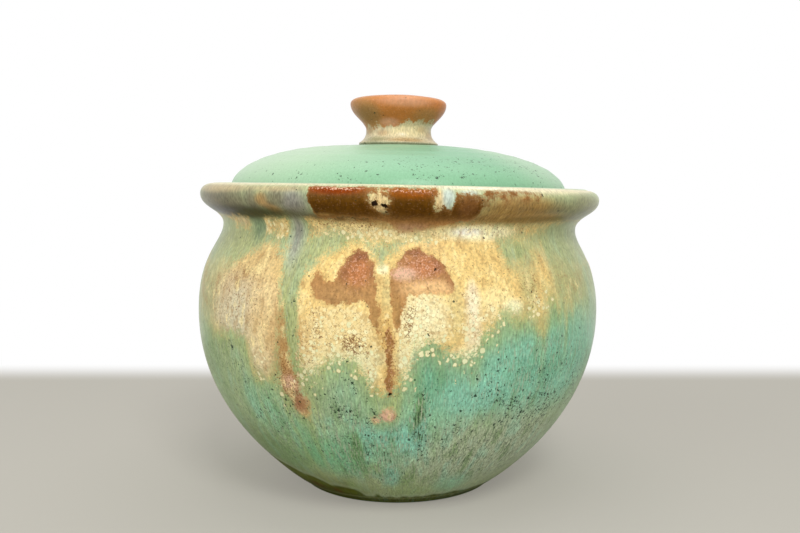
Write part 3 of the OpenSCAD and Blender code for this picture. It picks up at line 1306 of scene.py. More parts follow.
    # Colours of the ground, the flow and the rust, each stroke laid over those before it
    ground_strokes = (
        Stroke(38, 74, 40, 23, 1.0, Tint.TURQUOISE),
        Stroke(0, 56, 17, 28, 0.9, Tint.SEA_GREEN),
        Stroke(-13, 64, 8, 18, 0.7, Tint.LICHEN),
        Stroke(-40, 66, 15, 22, 0.8, Tint.MEADOW),
        Stroke(-64, 64, 14, 28, 0.8, Tint.MEADOW),
        Stroke(-15, 38, 15, 12, 0.7, Tint.SEA_GREEN),
        Stroke(-50, 34, 24, 18, 0.85, Tint.FERN),
        Stroke(32, 34, 32, 22, 0.95, Tint.STONE),
        Stroke(66, 42, 14, 26, 0.7, Tint.LICHEN),
        Stroke(-36, 57, 10, 13, 0.7, Tint.SEA_GREEN),
        Stroke(9, 76, 6, 11, 0.75, Tint.TEAL),
        Stroke(19, 65, 9, 8, 0.6, Tint.AQUA),
        Stroke(40, 74, 8, 6, 0.5, Tint.TEAL),
        Stroke(4, 47, 4.5, 9, 0.85, Tint.AQUA),
        Stroke(-4, 51, 7, 7, 0.6, Tint.AQUA),
        Stroke(-20, 33, 8, 12, 0.6, Tint.EMERALD),
        Stroke(-27, 42, 5, 14, 0.5, Tint.EMERALD),
        Stroke(-55, 33, 15, 15, 0.8, Tint.BRACKEN),
        Stroke(-12, 37, 3, 15, 0.4, Tint.PINE),
        Stroke(-7, 29, 2.4, 5, 0.7, Tint.LEAF),
        Stroke(-2, 24, 3.6, 8, 0.7, Tint.AQUA),
        Stroke(4, 22, 3, 7, 0.6, Tint.LEAF),
        Stroke(22, 17, 8, 8, 0.6, Tint.SEA_GREEN),
        Stroke(-42, 31, 14, 11, 0.6, Tint.DEEP),
        Stroke(5, 12, 9, 6, 0.5, Tint.LEAF),
        Stroke(-46, 9, 33, 14, 0.8, Tint.OLIVE),
        Stroke(-21, 9, 6, 9, 0.7, Tint.OLIVE),
        Stroke(-18, 14, 3, 4, 0.6, Tint.LEAF),
        Stroke(-60, 62, 8, 30, 0.5, Tint.FERN),
        Stroke(180, 10, 90, 11, 0.7, Tint.OLIVE),
        Stroke(150, 62, 42, 30, 0.9, Tint.TURQUOISE),
        Stroke(-128, 58, 44, 30, 0.8, Tint.MEADOW),
        Stroke(104, 50, 30, 30, 0.8, Tint.SEA_GREEN),
        Stroke(22, 88, 8, 6, 0.4, Tint.LEAF),
        Stroke(37, 93, 9, 7, 0.6, Tint.LEAF),
        # Painted shade in the crease under the lip, over its brown glaze
        Stroke(-14, 130.4, 12, 2.8, 0.95, Tint.COCOA),
        Stroke(-13, 76, 11, 5, 0.4, Tint.LEAF),
        Stroke(-2, 65, 3.4, 7, 0.75, Tint.HALO),
        Stroke(-28, 82, 2.4, 12, 0.6, Tint.TOFFEE),
        Stroke(-26.8, 67, 4.4, 9, 0.7, Tint.OLIVE_GREY),
        Stroke(-31, 61, 3, 5, 0.5, Tint.HALO),
        Stroke(6, 57, 2.2, 10, 0.35, Tint.POOL_AND_SHADE),
        Stroke(-15, 119, 11, 6, 1.0, Tint.WILLOW),
        Stroke(-4, 117, 4, 6, 0.9, Tint.WILLOW),
        Stroke(-26.8, 98, 2.8, 26, 0.9, Tint.SEDGE),
        Stroke(-55, 118, 16, 7, 0.9, Tint.WILLOW),
        Stroke(38, 120, 11, 6, 0.9, Tint.WILLOW),
        Stroke(60, 112, 14, 13, 0.7, Tint.WILLOW),
        Stroke(-43.2, 127, 2.8, 8, 0.6, Tint.POOL_AND_SHADE),
        Stroke(-28.4, 121, 2.6, 11, 0.8, Tint.MILK),
        Stroke(-28.4, 123, 1.6, 10, 0.85, Tint.LILAC),
        Stroke(-56, 137.5, 18, 8, 1.0, Tint.SLATE),
        Stroke(-56, 143.6, 19, 2.4, 0.85, Tint.BUFF_GREY),
        Stroke(-39.4, 137, 2.2, 7, 0.8, Tint.SLATE),
        Stroke(-35.6, 138.4, 2.2, 3.6, 0.9, Tint.TAN),
        Stroke(-33, 134.6, 2.6, 3.4, 0.9, Tint.TAN),
        Stroke(-26.4, 137, 4.4, 7, 1.0, Tint.LILAC),
        Stroke(-31.4, 140, 3, 4, 0.9, Tint.SLATE),
        Stroke(-31, 143.5, 8, 1.6, 0.7, Tint.BUFF_GREY),
        Stroke(-4.8, 138, 3, 6, 1.0, Tint.BUFF),
        Stroke(9.2, 139.6, 1.4, 5, 1.0, Tint.BUFF),
        Stroke(11.2, 141, 1.5, 5, 1.0, Tint.PALE_BLUE),
        Stroke(16.4, 143, 2.4, 1.4, 0.8, Tint.PALE_BLUE),
        Stroke(31, 136, 13, 7, 1.0, Tint.SANDY),
        Stroke(44, 135, 4, 8, 0.7, Tint.OLIVE_GREY),
        Stroke(58, 136.5, 13, 8, 0.95, Tint.OLIVE_GREY),
        Stroke(120, 138, 40, 9, 0.9, Tint.BROWN),
        Stroke(-155, 138, 44, 9, 0.9, Tint.BROWN),
        Stroke(-100, 138, 26, 9, 0.9, Tint.MAUVE),
        # Painted shade in the crease under the lip, over its brown glaze
        Stroke(30, 132, 15, 2.2, 0.6, Tint.COCOA),
        # Along the rim's top: pale glaze thin over the edge, partly a painted highlight, and a painted
        # highlight in GLINT
        Stroke(36, 146.6, 28, 3.7, 0.85, Tint.IVORY),
        Stroke(20, 146.6, 11, 1.6, 0.9, Tint.GLINT),
        Stroke(30, 138, 6, 2.4, 0.5, Tint.TAN),
        Stroke(34, 136.4, 15, 3.6, 0.5, Tint.BARK),
        # Painted shade in the crease under the lip, over its brown glaze
        Stroke(2, 131, 22, 3.6, 1.0, Tint.PEAT),
        Stroke(38, 131.2, 20, 3.4, 0.9, Tint.TAN),
        # These three strokes are painted shade in the crease under the lip, over its brown glaze
        Stroke(36, 130.6, 22, 2.2, 0.6, Tint.BARK),
        Stroke(58, 132, 12, 4, 0.7, Tint.OLIVE),
        Stroke(-48, 131.8, 25, 4.2, 1.0, Tint.PEAT),
        # Pale glaze thin over the rim's top all round, partly a painted highlight
        Stroke(0, 148.5, 400, 3.2, 0.9, Tint.IVORY),
    )
    flow_strokes = (
        Stroke(-44, 96, 16, 14, 1.0, Tint.ROSY_BUFF),
        Stroke(-45, 107, 8, 6, 0.2, Tint.TAN),
        Stroke(-48, 91, 7, 7, 0.5, Tint.CHALK),
        Stroke(-43, 95, 3.6, 8, 0.6, Tint.CHALK),
        Stroke(-27.4, 78, 6, 22, 1.0, Tint.TOFFEE),
        Stroke(-26, 64, 5, 9, 0.9, Tint.FAWN),
        Stroke(-35.5, 79, 4, 9, 0.9, Tint.CHALK),
        Stroke(-44, 87, 6, 4, 0.7, Tint.CHALK),
        Stroke(-28.4, 86, 2.4, 11, 0.8, Tint.TAN),
        Stroke(-27.2, 69.5, 2.2, 3, 0.9, Tint.ROSE),
        Stroke(-27.4, 65.5, 2.6, 1.6, 0.7, Tint.CHESTNUT),
        Stroke(-25.6, 61.4, 2, 2.6, 0.8, Tint.CHESTNUT),
        Stroke(-2.6, 58, 5, 4.5, 1.0, Tint.ROSE),
        Stroke(-37, 113, 8, 7, 0.8, Tint.SEAM),
        Stroke(-34, 90, 4.5, 18, 0.7, Tint.BUFF),
        Stroke(-42, 107.5, 1.3, 2.4, 0.9, Tint.TAN),
        Stroke(-44.5, 103.5, 0.8, 2.6, 0.8, Tint.TAN),
        Stroke(-64, 98, 11, 16, 0.9, Tint.SEDGE),
        Stroke(-13, 89, 10, 9, 0.5, Tint.CREAM),
        Stroke(6, 94, 6, 9, 0.95, Tint.PEARL),
        # The white run: pale glaze with a painted highlight on it in GLINT
        Stroke(18.2, 99, 1.6, 7, 0.9, Tint.GLINT),
        Stroke(18.2, 88, 2, 7, 0.5, Tint.GLINT),
        Stroke(24, 99, 5, 6, 0.8, Tint.CREAM),
        Stroke(29, 97, 3, 3, 0.8, Tint.PEARL),
        Stroke(-2.2, 86, 2.2, 17, 0.9, Tint.GOLD),
        Stroke(-2.4, 103, 1.4, 7, 0.8, Tint.HONEY),
        Stroke(14, 95, 2.2, 10, 0.7, Tint.HONEY),
        # Painted highlight on the shoulder
        Stroke(-3.6, 111.3, 1.4, 2, 0.9, Tint.PEARL),
        Stroke(34.5, 104, 3, 7, 0.7, Tint.SEDGE),
        Stroke(51, 107, 8, 10, 0.85, Tint.SEDGE),
        Stroke(62, 101, 11, 10, 0.9, Tint.SEDGE),
        Stroke(26, 129, 14, 2, 0.8, Tint.TAN),
        Stroke(-10, 80.5, 8, 4, 0.7, Tint.MINT),
        Stroke(3, 80, 3, 8, 0.7, Tint.MINT),
        Stroke(-6.4, 75, 2, 5, 0.7, Tint.MINT),
        Stroke(-20, 75, 3, 7, 0.6, Tint.MINT),
        Stroke(17, 79, 5, 5, 0.8, Tint.PEARL),
        Stroke(-14, 125.6, 11, 2.8, 0.9, Tint.CREAM),
        Stroke(4, 124, 7, 2.2, 0.75, Tint.CREAM),
        # Pale cream on the neck's right, with a painted highlight on it in GLINT
        Stroke(22, 125, 12, 3, 0.95, Tint.PEARL),
        Stroke(18.5, 125, 4, 1.5, 0.95, Tint.GLINT),
        # Painted shade in the crease under the lip, over its brown glaze
        Stroke(-12, 130.6, 13, 2.8, 0.95, Tint.COCOA),
        Stroke(3, 128, 10, 2.8, 0.95, Tint.TAN),
        Stroke(17, 129.4, 9, 1.8, 0.7, Tint.TAN),
        Stroke(-51, 127, 4, 2.5, 0.8, Tint.ROSY_BUFF),
        Stroke(120, 105, 30, 18, 0.7, Tint.BUFF),
        Stroke(-140, 102, 30, 18, 0.6, Tint.ROSY_BUFF),
    )
    patch_strokes = (
        Stroke(-13, 101, 8, 4.5, 0.9, Tint.TOFFEE),
        Stroke(8, 104, 7, 3.5, 0.95, Tint.BEIGE),
        Stroke(-9.7, 111, 3.6, 6.5, 0.95, Tint.RUST),
        Stroke(6.5, 112.5, 5.5, 4.5, 0.95, Tint.RUST),
        Stroke(-13.2, 111, 1.4, 5, 0.7, Tint.CHESTNUT),
        Stroke(-11, 116.4, 2.6, 2.8, 0.9, Tint.CHESTNUT),
        Stroke(-8.4, 116.4, 2, 2, 0.8, Tint.CHESTNUT),
        Stroke(-5.8, 111, 1, 4, 0.7, Tint.CHESTNUT),
        Stroke(5, 118, 5.5, 2, 0.85, Tint.CHESTNUT),
        Stroke(0.2, 115.5, 1.6, 1.6, 0.7, Tint.CHESTNUT),
        Stroke(10.6, 113.6, 2, 3.6, 0.8, Tint.CHESTNUT),
        Stroke(13.2, 108, 1.2, 3.8, 0.7, Tint.CHESTNUT),
        # Painted highlight on the right patch
        Stroke(1.6, 109.6, 3, 2.4, 0.45, Tint.PETAL),
        Stroke(-2, 79, 1.5, 14, 0.7, Tint.COCOA),
        Stroke(-5, 94, 1.6, 6, 0.8, Tint.TAN),
        Stroke(-0.2, 96, 1.4, 7, 0.8, Tint.TAN),
    )
    rust_strokes = (
        *echoed(*patch_strokes),
        # The rim's rust turns dark brown towards the lip's underside: browner glaze there, with painted
        # shade
        Stroke(0, 136.5, 400, 7.5, 1.0, Tint.UMBER),
        Stroke(-15.4, 143.4, 8.4, 2.3, 1.0, Tint.FIRED_RED),
        Stroke(2.6, 142.8, 7, 2.6, 1.0, Tint.FIRED_ORANGE),
        # A tan fleck low on the red, partly a painted highlight
        Stroke(-19, 132.4, 2.6, 0.9, 0.6, Tint.TAN),
        Stroke(3, 125.4, 7, 2.8, 0.85, Tint.FAWN),
        Stroke(28, 141.5, 10, 4, 0.9, Tint.COCOA),
        Stroke(16, 137, 2.6, 4.5, 0.7, Tint.COCOA),
    )

    # Where foam, beads, soft edges, pepper, crystal flecks and painted glints, specks, streaks and stipple
    # are dense
    foam_touches = (
        Touch(-13, 88, 12, 13), Touch(6, 93, 8, 13), Touch(18, 92, 3, 17), Touch(23, 90, 5, 11, 0.9),
        Touch(15.5, 77, 4, 7), Touch(-6.4, 77, 2, 8), Touch(-4, 123.4, 22, 2.8),
        Touch(36, 94, 7, 8, 0.7), Touch(-22, 78, 4, 12), Touch(2, 79, 2, 9),
        Touch(-36, 125, 6, 6, 0.9), Touch(150, 88, 40, 14, 0.9), Touch(-130, 86, 40, 14, 0.9),
    )
    bead_touches = (
        Touch(18.3, 92, 1.9, 14), Touch(16.4, 78, 3.6, 4.6), Touch(14.6, 72, 1.6, 1.6, 0.7),
        Touch(22, 85, 4, 8, 0.75), Touch(-6, 68.5, 1.8, 3.4, 0.85), Touch(-20.4, 69, 3, 5, 0.85),
        Touch(3, 71.5, 2, 6, 0.85), Touch(-8, 74.5, 4, 3, 0.85), Touch(7, 83, 4, 4, 0.85),
        Touch(12, 80, 3, 4, 0.85), Touch(36, 92, 4, 5, 0.7), Touch(-31, 63, 3, 6, 0.6),
        Touch(-36, 74, 3, 8, 0.7), Touch(-2, 70, 2.4, 2.2, 0.7), Touch(30, 96, 4, 5, 0.75),
        Touch(-28.6, 70, 1.6, 4, 0.85), Touch(-14, 77.5, 5, 3.4, 0.85), Touch(24, 90, 3, 6, 0.8),
        Touch(1.8, 67, 1.6, 4, 0.8), Touch(10, 88, 3, 3, 0.8), Touch(41, 99, 3, 5, 0.7),
    )
    soft_touches = (
        Touch(28, 140, 13, 7, 0.5), Touch(4, 125.4, 12, 3, 0.9), Touch(46, 104, 18, 20),
        Touch(38, 92, 12, 8), Touch(-60, 98, 12, 20), Touch(-36, 76, 5, 9, 0.6),
    )
    pepper_touches = (
        Touch(-14, 127.5, 12, 2.4, 0.8), Touch(-10.5, 85.5, 3, 4), Touch(-27, 70, 4, 14, 0.9),
        Touch(3, 95, 1.5, 6, 0.8), Touch(-46, 100, 14, 12, 0.5), Touch(-20, 90, 3, 9, 0.5),
        Touch(22, 112, 12, 10, 0.25), Touch(35, 104, 4, 8, 0.6), Touch(-1.7, 84, 1.6, 9),
        Touch(-5.7, 139, 3, 5), Touch(30, 127.5, 16, 3, 0.5),
    )
    # The touches along the rim's top near 143 mm, and the strongest in the right patch, lay pale flecks as
    # painted glints
    crystal_and_glint_touches = (
        Touch(5, 111.5, 7, 7, 0.7), Touch(1.4, 109.8, 3.4, 2.6, 1.3), Touch(-10, 110, 4, 8, 0.6),
        Touch(-2, 80, 2, 14, 0.5), Touch(-26.5, 66, 4, 8, 0.5), Touch(-15, 143.6, 8, 1.0, 1.1),
        Touch(2, 143.2, 7, 1.0, 0.9),
    )
    speck_touches = (
        Touch(38, 57, 14, 7, 1.3), Touch(40, 62, 24, 16, 0.45), Touch(0, 50, 40, 22, 0.2),
        Touch(58, 61, 1.6, 2), Touch(51, 68.5, 1.2, 1.6), Touch(-14, 57, 1.4, 2),
        Touch(-10.5, 70, 1, 1.4), Touch(-5.5, 60, 1, 1.6), Touch(3, 46.5, 1, 1.6),
        Touch(-1.5, 51, 1, 1.4), Touch(17, 48, 6, 8, 0.6), Touch(-36, 54, 12, 16, 0.35),
        Touch(-43, 72, 1.4, 2), Touch(-46.5, 80.5, 1, 1.4), Touch(-26.5, 102, 2.5, 18, 0.12),
        Touch(-4, 44, 16, 10, 0.3), Touch(-13, 62, 5, 12, 0.5), Touch(-31, 61, 3, 4, 0.5),
        Touch(160, 60, 30, 20, 0.3), Touch(-110, 55, 30, 20, 0.3),
    )
    streak_touches = (
        Touch(6, 56, 4, 14, 1.3), Touch(-14, 42, 12, 24, 1.1), Touch(28, 36, 36, 22, 1.1),
        Touch(0, 36, 20, 22, 1.1), Touch(-36, 50, 14, 20, 0.8), Touch(40, 70, 30, 20, 0.7),
        Touch(-50, 70, 16, 20, 0.6), Touch(180, 45, 100, 35, 0.9),
    )
    stipple_touches = (Touch(34, 34, 36, 24), Touch(-10, 30, 20, 20, 0.7), Touch(180, 34, 90, 26, 0.8))

    def __post_init__(self) -> None:
        """Takes the height of the rim, the belly and the seat from the frame."""
        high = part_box("jar_body")[1]
        self.rim_z = high.z / MM
        self.belly_r = high.x / MM
        self.seat_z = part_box("lid")[0].z / MM
        self.neck_z = self.rim_z - self.neck_drop

    def inner_section(self) -> list[Stretch]:
        """The inside from the middle of the floor up to the rim's top, over the seat.

        Returns:
            Stretches of the section, each with its number of rows.
        """
        soft = self.soft
        belly = (self.belly_r - self.wall, self.belly_z)
        neck = (self.neck_r - self.wall, self.neck_z)
        nose = (self.ledge_r, self.seat_z - self.ledge_t)
        floor_edge = (self.floor_flat, self.floor_z)
        low = self.belly_z - self.floor_z
        high = self.neck_z - self.belly_z
        back = nose[1] - neck[1]
        top = self.rim_z - self.top_fall
        return [
            (line((0, self.floor_z), floor_edge), 7),
            (bezier(floor_edge, (floor_edge[0] + self.floor_fullness * low, floor_edge[1]),
                    (belly[0], belly[1] - self.belly_fullness_low * low), belly), 26),
            (bezier(belly, (belly[0], belly[1] + self.belly_fullness_high * high),
                    (neck[0], neck[1] - self.neck_fullness * high), neck), 14),
            (bezier(neck, (neck[0], neck[1] + self.ledge_fullness * back),
                    (nose[0], nose[1] - self.ledge_fullness * back), nose), 6),
            (line(nose, (self.ledge_r, self.seat_z - soft)), 2),
            (arc((self.ledge_r + soft, self.seat_z - soft), soft, soft, 180, 90), 4),
            (line((self.ledge_r + soft, self.seat_z), (self.seat_r - soft, self.seat_z)), 5),
            (arc((self.seat_r - soft, self.seat_z + soft), soft, soft, -90, 0), 4),
            (line((self.seat_r, self.seat_z + soft), (self.seat_r, top - soft)), 3),
            (arc((self.seat_r + soft, top - soft), soft, soft, 180, 90), 4),
            (line((self.seat_r + soft, top), (self.rim_r - self.rim_roll, self.rim_z)), 6),
        ]

    def outer_section(self) -> list[Stretch]:
        """The outside from the rim's top down to the bevel of the foot.

        Returns:
            Stretches of the section, each with its number of rows.
        """
        widest = (self.rim_r, self.rim_z - self.rim_edge)
        neck = (self.neck_r, self.neck_z)
        belly = (self.belly_r, self.belly_z)
        foot = (self.foot_r + self.foot_bevel, self.foot_bevel)
        lip = widest[1] - neck[1]
        high = neck[1] - belly[1]
        low = belly[1] - foot[1]
        flare = math.radians(self.foot_flare)
        pull = self.foot_fullness * low
        return [
            (arc((self.rim_r - self.rim_roll, widest[1]), self.rim_roll, self.rim_edge, 90, 0), 14),
            (bezier(widest, (widest[0], widest[1] - self.lip_fullness_high * lip),
                    (neck[0], neck[1] + self.lip_fullness_low * lip), neck), 22),
            (bezier(neck, (neck[0], neck[1] - self.neck_fullness * high),
                    (belly[0], belly[1] + self.belly_fullness_high * high), belly), 36),
            (bezier(belly, (belly[0], belly[1] - self.belly_fullness_low * low),
                    (foot[0] + pull * math.sin(flare), foot[1] + pull * math.cos(flare)), foot), 74),
        ]

    def base_section(self) -> list[Stretch]:
        """The base from the bevel of the foot to the middle of the hollow under it.

        Returns:
            Stretches of the section, each with its number of rows.
        """
        edge = self.soft / 2
        hollow_r = self.foot_r - self.foot_ring
        return [
            (line((self.foot_r + self.foot_bevel, self.foot_bevel), (self.foot_r, 0)), self.bevel_rows),
            (line((self.foot_r, 0), (hollow_r + edge, 0)), 4),
            (line((hollow_r + edge, 0), (hollow_r, edge), (hollow_r, self.foot_hollow)), 4),
            (line((hollow_r, self.foot_hollow), (0, self.foot_hollow)), 10),
        ]

    def section(self) -> np.ndarray:
        """The jar's section from its floor, up the inside, over the rim and down the outside to the base.

        Returns:
            Points as radius and height, one a row.
        """
        inner, outer = self.inner_section(), self.outer_section()
        self.first_outside = row_count(inner)
        self.first_base = row_count(inner + outer)
        return joined(inner + outer + self.base_section(), (0, self.foot_hollow))

    def spot(self, around: float, up: float, radius: float) -> Spot:
        """A pit at an angle and a height on the outside, placed in the pattern."""
        angle = math.radians(around)
        return Spot((self.belly_r * math.sin(angle), -self.belly_r * math.cos(angle), up), radius)

    def clay(self, shell: TurnedShell, outside: np.ndarray) -> np.ndarray:
        """The bare clay of the seat and the base.

        Args:
            shell: the jar's shell.
            outside: 1 on the rows of the outside and 0 elsewhere.

        Returns:
            Depth in the clay, in millimetres.
        """
        radius, height = shell.section[:, :1], shell.section[:, 1:]
        at_seat = (radius > self.ledge_r - self.clay_in) & (radius < self.seat_r + self.clay_out)
        on_seat = at_seat & (height > self.seat_z - self.clay_down)
        on_base = np.arange(len(shell.section))[:, None] >= self.first_base + self.bevel_rows
        return np.where((on_seat | on_base) & (outside < 0.5), CLAY_DEPTH, FAR_OFF)

    def ground(self, wall: Wall, flow: np.ndarray, pool_and_shade: np.ndarray) -> np.ndarray:
        """The ground glaze: its strokes, a halo round the flow, pale curds over the pool, and the dark pool
        at the foot, which is partly painted shade.

        Args:
            wall: the outside laid flat.
            flow: depth in the flow, in millimetres.
            pool_and_shade: share of the dark pool at the foot, glaze pooled there with painted shade.

        Returns:
            A colour for each row and column.
        """
        halo = self.halo * smoothstep(-13.0, 1.0, flow) * smoothstep(116.0, 100.0, wall.up)
        above = self.foot_line.above(wall)
        curds = self.curds * smoothstep(3.6, 1.4, above) * smoothstep(-0.8, 0.8, above)
        colour = wall.painted(Tint.SAGE, self.ground_strokes)
        colour = mixed(colour, Tint.HALO.array, halo)
        colour = mixed(colour, Tint.MILK.array, curds)
        # The dark pool at the foot: pooled glaze, deepened with painted shade where the jar turns under to
        # the floor
        return mixed(colour, wall.painted(Tint.FEN, self.foot_strokes), pool_and_shade)

    def fields(self, shell: TurnedShell, wall: Wall, outside: np.ndarray) -> GlazeFields:
        """What the glaze reads on each row and column. The inside has a plain liner.

        Args:
            shell: the jar's shell.
            wall: its outside laid flat.
            outside: 1 on the rows of the outside and 0 elsewhere.

        Returns:
            The fields.
        """
        angle = np.radians(shell.around) + wall.flat
        place = [self.belly_r * np.sin(angle), -self.belly_r * np.cos(angle), wall.up + wall.flat]
        hidden = FAR_OFF * (1.0 - outside)
        spots = self.spot_rise * wall.coated(*self.flow_spots)
        flow = np.maximum(wall.coated(self.flow, self.neck_flow), spots) + hidden
        rust = np.minimum(wall.coated(*self.rust_shapes), -wall.coated(*self.rust_holes)) + hidden
        pool_and_shade = self.pool * smoothstep(1.0, -1.0, self.foot_line.above(wall))
        body = outside * (1.0 - self.calm.cover(wall))
        still = 1.0 - wall.dabbed(0.0, self.foam_touches)
        clear = np.minimum(flow, -self.foam_off_rust * rust)
        foam = np.minimum(clear, self.foam_depth) - self.foam_fall * still
        beads = self.bead_gain * wall.dabbed(0.0, self.bead_touches) - self.bead_start
        fringe = np.maximum(foam - np.maximum(flow - self.fringe_depth, 0.0), beads)
        veil = self.speck_veil * smoothstep(92.0, 72.0, wall.up)
        specks = wall.dabbed(0.02, self.speck_touches) + veil
        below_neck = 1.0 - self.neck_calm * smoothstep(119.0, 128.0, wall.up)
        streaks = wall.dabbed(0.4, self.streak_touches) * body * below_neck
        pepper = wall.dabbed(0.1, self.pepper_touches)
        crystals = wall.dabbed(0.1, self.crystal_and_glint_touches)
        stipple = wall.dabbed(0.6, self.stipple_touches) * body
        return GlazeFields(
            pattern_at=np.stack(place, axis=-1),
            ground=mixed(Tint.PALE_JADE.array, self.ground(wall, flow, pool_and_shade), outside),
            flow=wall.painted(Tint.OCHRE, self.flow_strokes),
            rust=wall.painted(Tint.BROWN, self.rust_strokes),
            coats=np.stack([flow, rust, self.clay(shell, outside)], axis=-1),
            marks=np.stack([foam, specks, streaks], axis=-1),
            grains=np.stack([pepper, crystals, stipple], axis=-1),
            edges=np.stack([fringe, wall.dabbed(0.0, self.soft_touches), pool_and_shade], axis=-1),
        )

    def relief(self, shell: TurnedShell, wall: Wall, fields: GlazeFields) -> np.ndarray:
        """The hand's unevenness, which fades out at the foot, and the thickness of the flow and the rust.

        Args:
            shell: the jar's shell.
            wall: its outside laid flat.
            fields: its glaze.

        Returns:
            Millimetres to raise each row and column of the outside.
        """
        uneven = self.uneven * ripple(shell.around, shell.travel, waves=14, reach=90.0, seed=3) - self.inset
        flow = self.flow_thick * smoothstep(-1.0, 3.0, fields.coats[..., 0])
        rust = self.rust_thick * smoothstep(-1.0, 1.5, fields.coats[..., 1])
        return uneven * smoothstep(1.0, 20.0, wall.up) + flow + rust

    def build(self) -> bpy.types.Object:
        """Builds the shell and dresses it.

        Returns:
            The piece.
        """
        shell = TurnedShell("jar_shell", self.section(), self.columns)
        foot_travel = shell.travel[self.first_base, 0]
        wall = Wall(shell.around, foot_travel - shell.travel, math.radians(self.belly_r))
        index = np.arange(len(shell.section))[:, None]
        outside = ((index >= self.first_outside) & (index < self.first_base + self.bevel_rows)) + wall.flat
        fields = self.fields(shell, wall, outside)
        made = shell.mesh(self.hand.settled(shell.surface(outside * self.relief(shell, wall, fields))))
        fields.put(shell, made)
        spots = tuple(self.spot(*pit) for pit in self.pits)
        finish = RunnyGlaze("jar_glaze", gloss=0.32, reflection=0.13, spots=spots)
        return stand(made, Body.JAR, Slot.JAR, "jar_body", finish)


@dataclass
class Lid:
    """The domed lid: its section in millimetres and its even glaze, with painted glare on the dome and
    painted shade round the knob.
    """

    hand: Hand
    edge_h: float = 2.5
    edge_w: float = 6.5
    thick: float = 5.7
    land_r: float = 18.5
    dome_flat: float = 0.52
    dome_full: float = 0.62
    soft: float = 1.2
    uneven: float = 0.18
    ring_height: float = 0.06
    ring_pitch: float = 7.0
    columns: int = 256

    ground_strokes = (
        # Paler patches on the dome's left and right: painted highlights of glare
        Stroke(-60, 50, 50, 34, 0.9, Tint.PALE_JADE),
        Stroke(66, 52, 26, 30, 0.6, Tint.PALE_JADE),
        Stroke(150, 40, 50, 30, 0.5, Tint.PALE_JADE),
        # A dark ring round the knob's foot: painted shade of the knob, with glaze pooled there
        Stroke(0, 0, 400, 22.5, 1.0, Tint.POOL_AND_SHADE),
    )
    speck_touches = (Touch(32, 70, 50, 16, 0.26), Touch(-30, 74, 40, 8, 0.16), Touch(160, 66, 50, 18, 0.2))

    def __post_init__(self) -> None:
        """Takes the lid's radius, seat and top from the frame."""
        low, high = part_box("lid")
        self.radius = high.x / MM
        self.seat_z = low.z / MM
        self.top_z = high.z / MM

    def section(self) -> np.ndarray:
        """The lid's section from its top, down the dome, round the edge and back along the underside.

        Returns:
            Points as radius and height, one a row.
        """
        soft, edge = self.soft, self.seat_z + self.edge_h
        rise, run = self.top_z - edge, self.radius - self.land_r
        inner = self.radius - self.edge_w
        under = self.top_z - self.thick
        dome = [
            (line((0, self.top_z), (self.land_r, self.top_z)), 6),
            (bezier((self.land_r, self.top_z), (self.land_r + self.dome_flat * run, self.top_z),
                    (self.radius, edge + self.dome_full * rise), (self.radius, edge)), 60),
        ]
        rim = [
            (line((self.radius, edge), (self.radius, self.seat_z + soft)), 2),
            (arc((self.radius - soft, self.seat_z + soft), soft, soft, 0, -90), 5),
            (line((self.radius - soft, self.seat_z), (inner, self.seat_z)), 5),
        ]
        underside = [(arc((0, self.seat_z), inner, under - self.seat_z, 0, 90), 34)]
        self.first_edge = row_count(dome)
        self.first_under = row_count(dome + rim)
        return joined(dome + rim + underside, (0, under))

    def build(self) -> bpy.types.Object:
        """Builds the shell and dresses it.

        Returns:
            The piece.
        """
        shell = TurnedShell("lid_shell", self.section(), self.columns)
        wall = Wall(shell.around, shell.travel, math.radians(self.radius))
        flat = wall.flat
        hidden = FAR_OFF + flat
        index = np.arange(len(shell.section))[:, None]
        radius = shell.section[:, :1]
        dome = (index < self.first_edge) * smoothstep(20.0, 30.0, radius) * smoothstep(70.0, 64.0, radius)
        uneven = self.uneven * ripple(shell.around, shell.travel, waves=10, reach=60.0, seed=11)
        rings = self.ring_height * np.sin(2 * math.pi * shell.travel / self.ring_pitch)
        on_edge = (index > self.first_edge) & (index <= self.first_under + 1)
        bare = np.where(on_edge, CLAY_DEPTH, FAR_OFF) + flat
        made = shell.mesh(self.hand.settled(shell.surface(dome * (uneven + rings))))
        GlazeFields(
            pattern_at=shell.surface(flat),
            ground=wall.painted(Tint.JADE, self.ground_strokes),
            flow=wall.painted(Tint.CREAM, ()),
            rust=wall.painted(Tint.RUST, ()),
            coats=np.stack([hidden, hidden, bare], axis=-1),
            marks=np.stack([hidden, wall.dabbed(0.04, self.speck_touches), flat], axis=-1),
            grains=np.stack([flat, flat, 0.15 + flat], axis=-1),
            edges=np.stack([hidden, flat, flat], axis=-1),
        ).put(shell, made)
        finish = RunnyGlaze("lid_glaze", gloss=0.36, reflection=0.3)
        return stand(made, Body.LID, Slot.LID, "lid", finish)


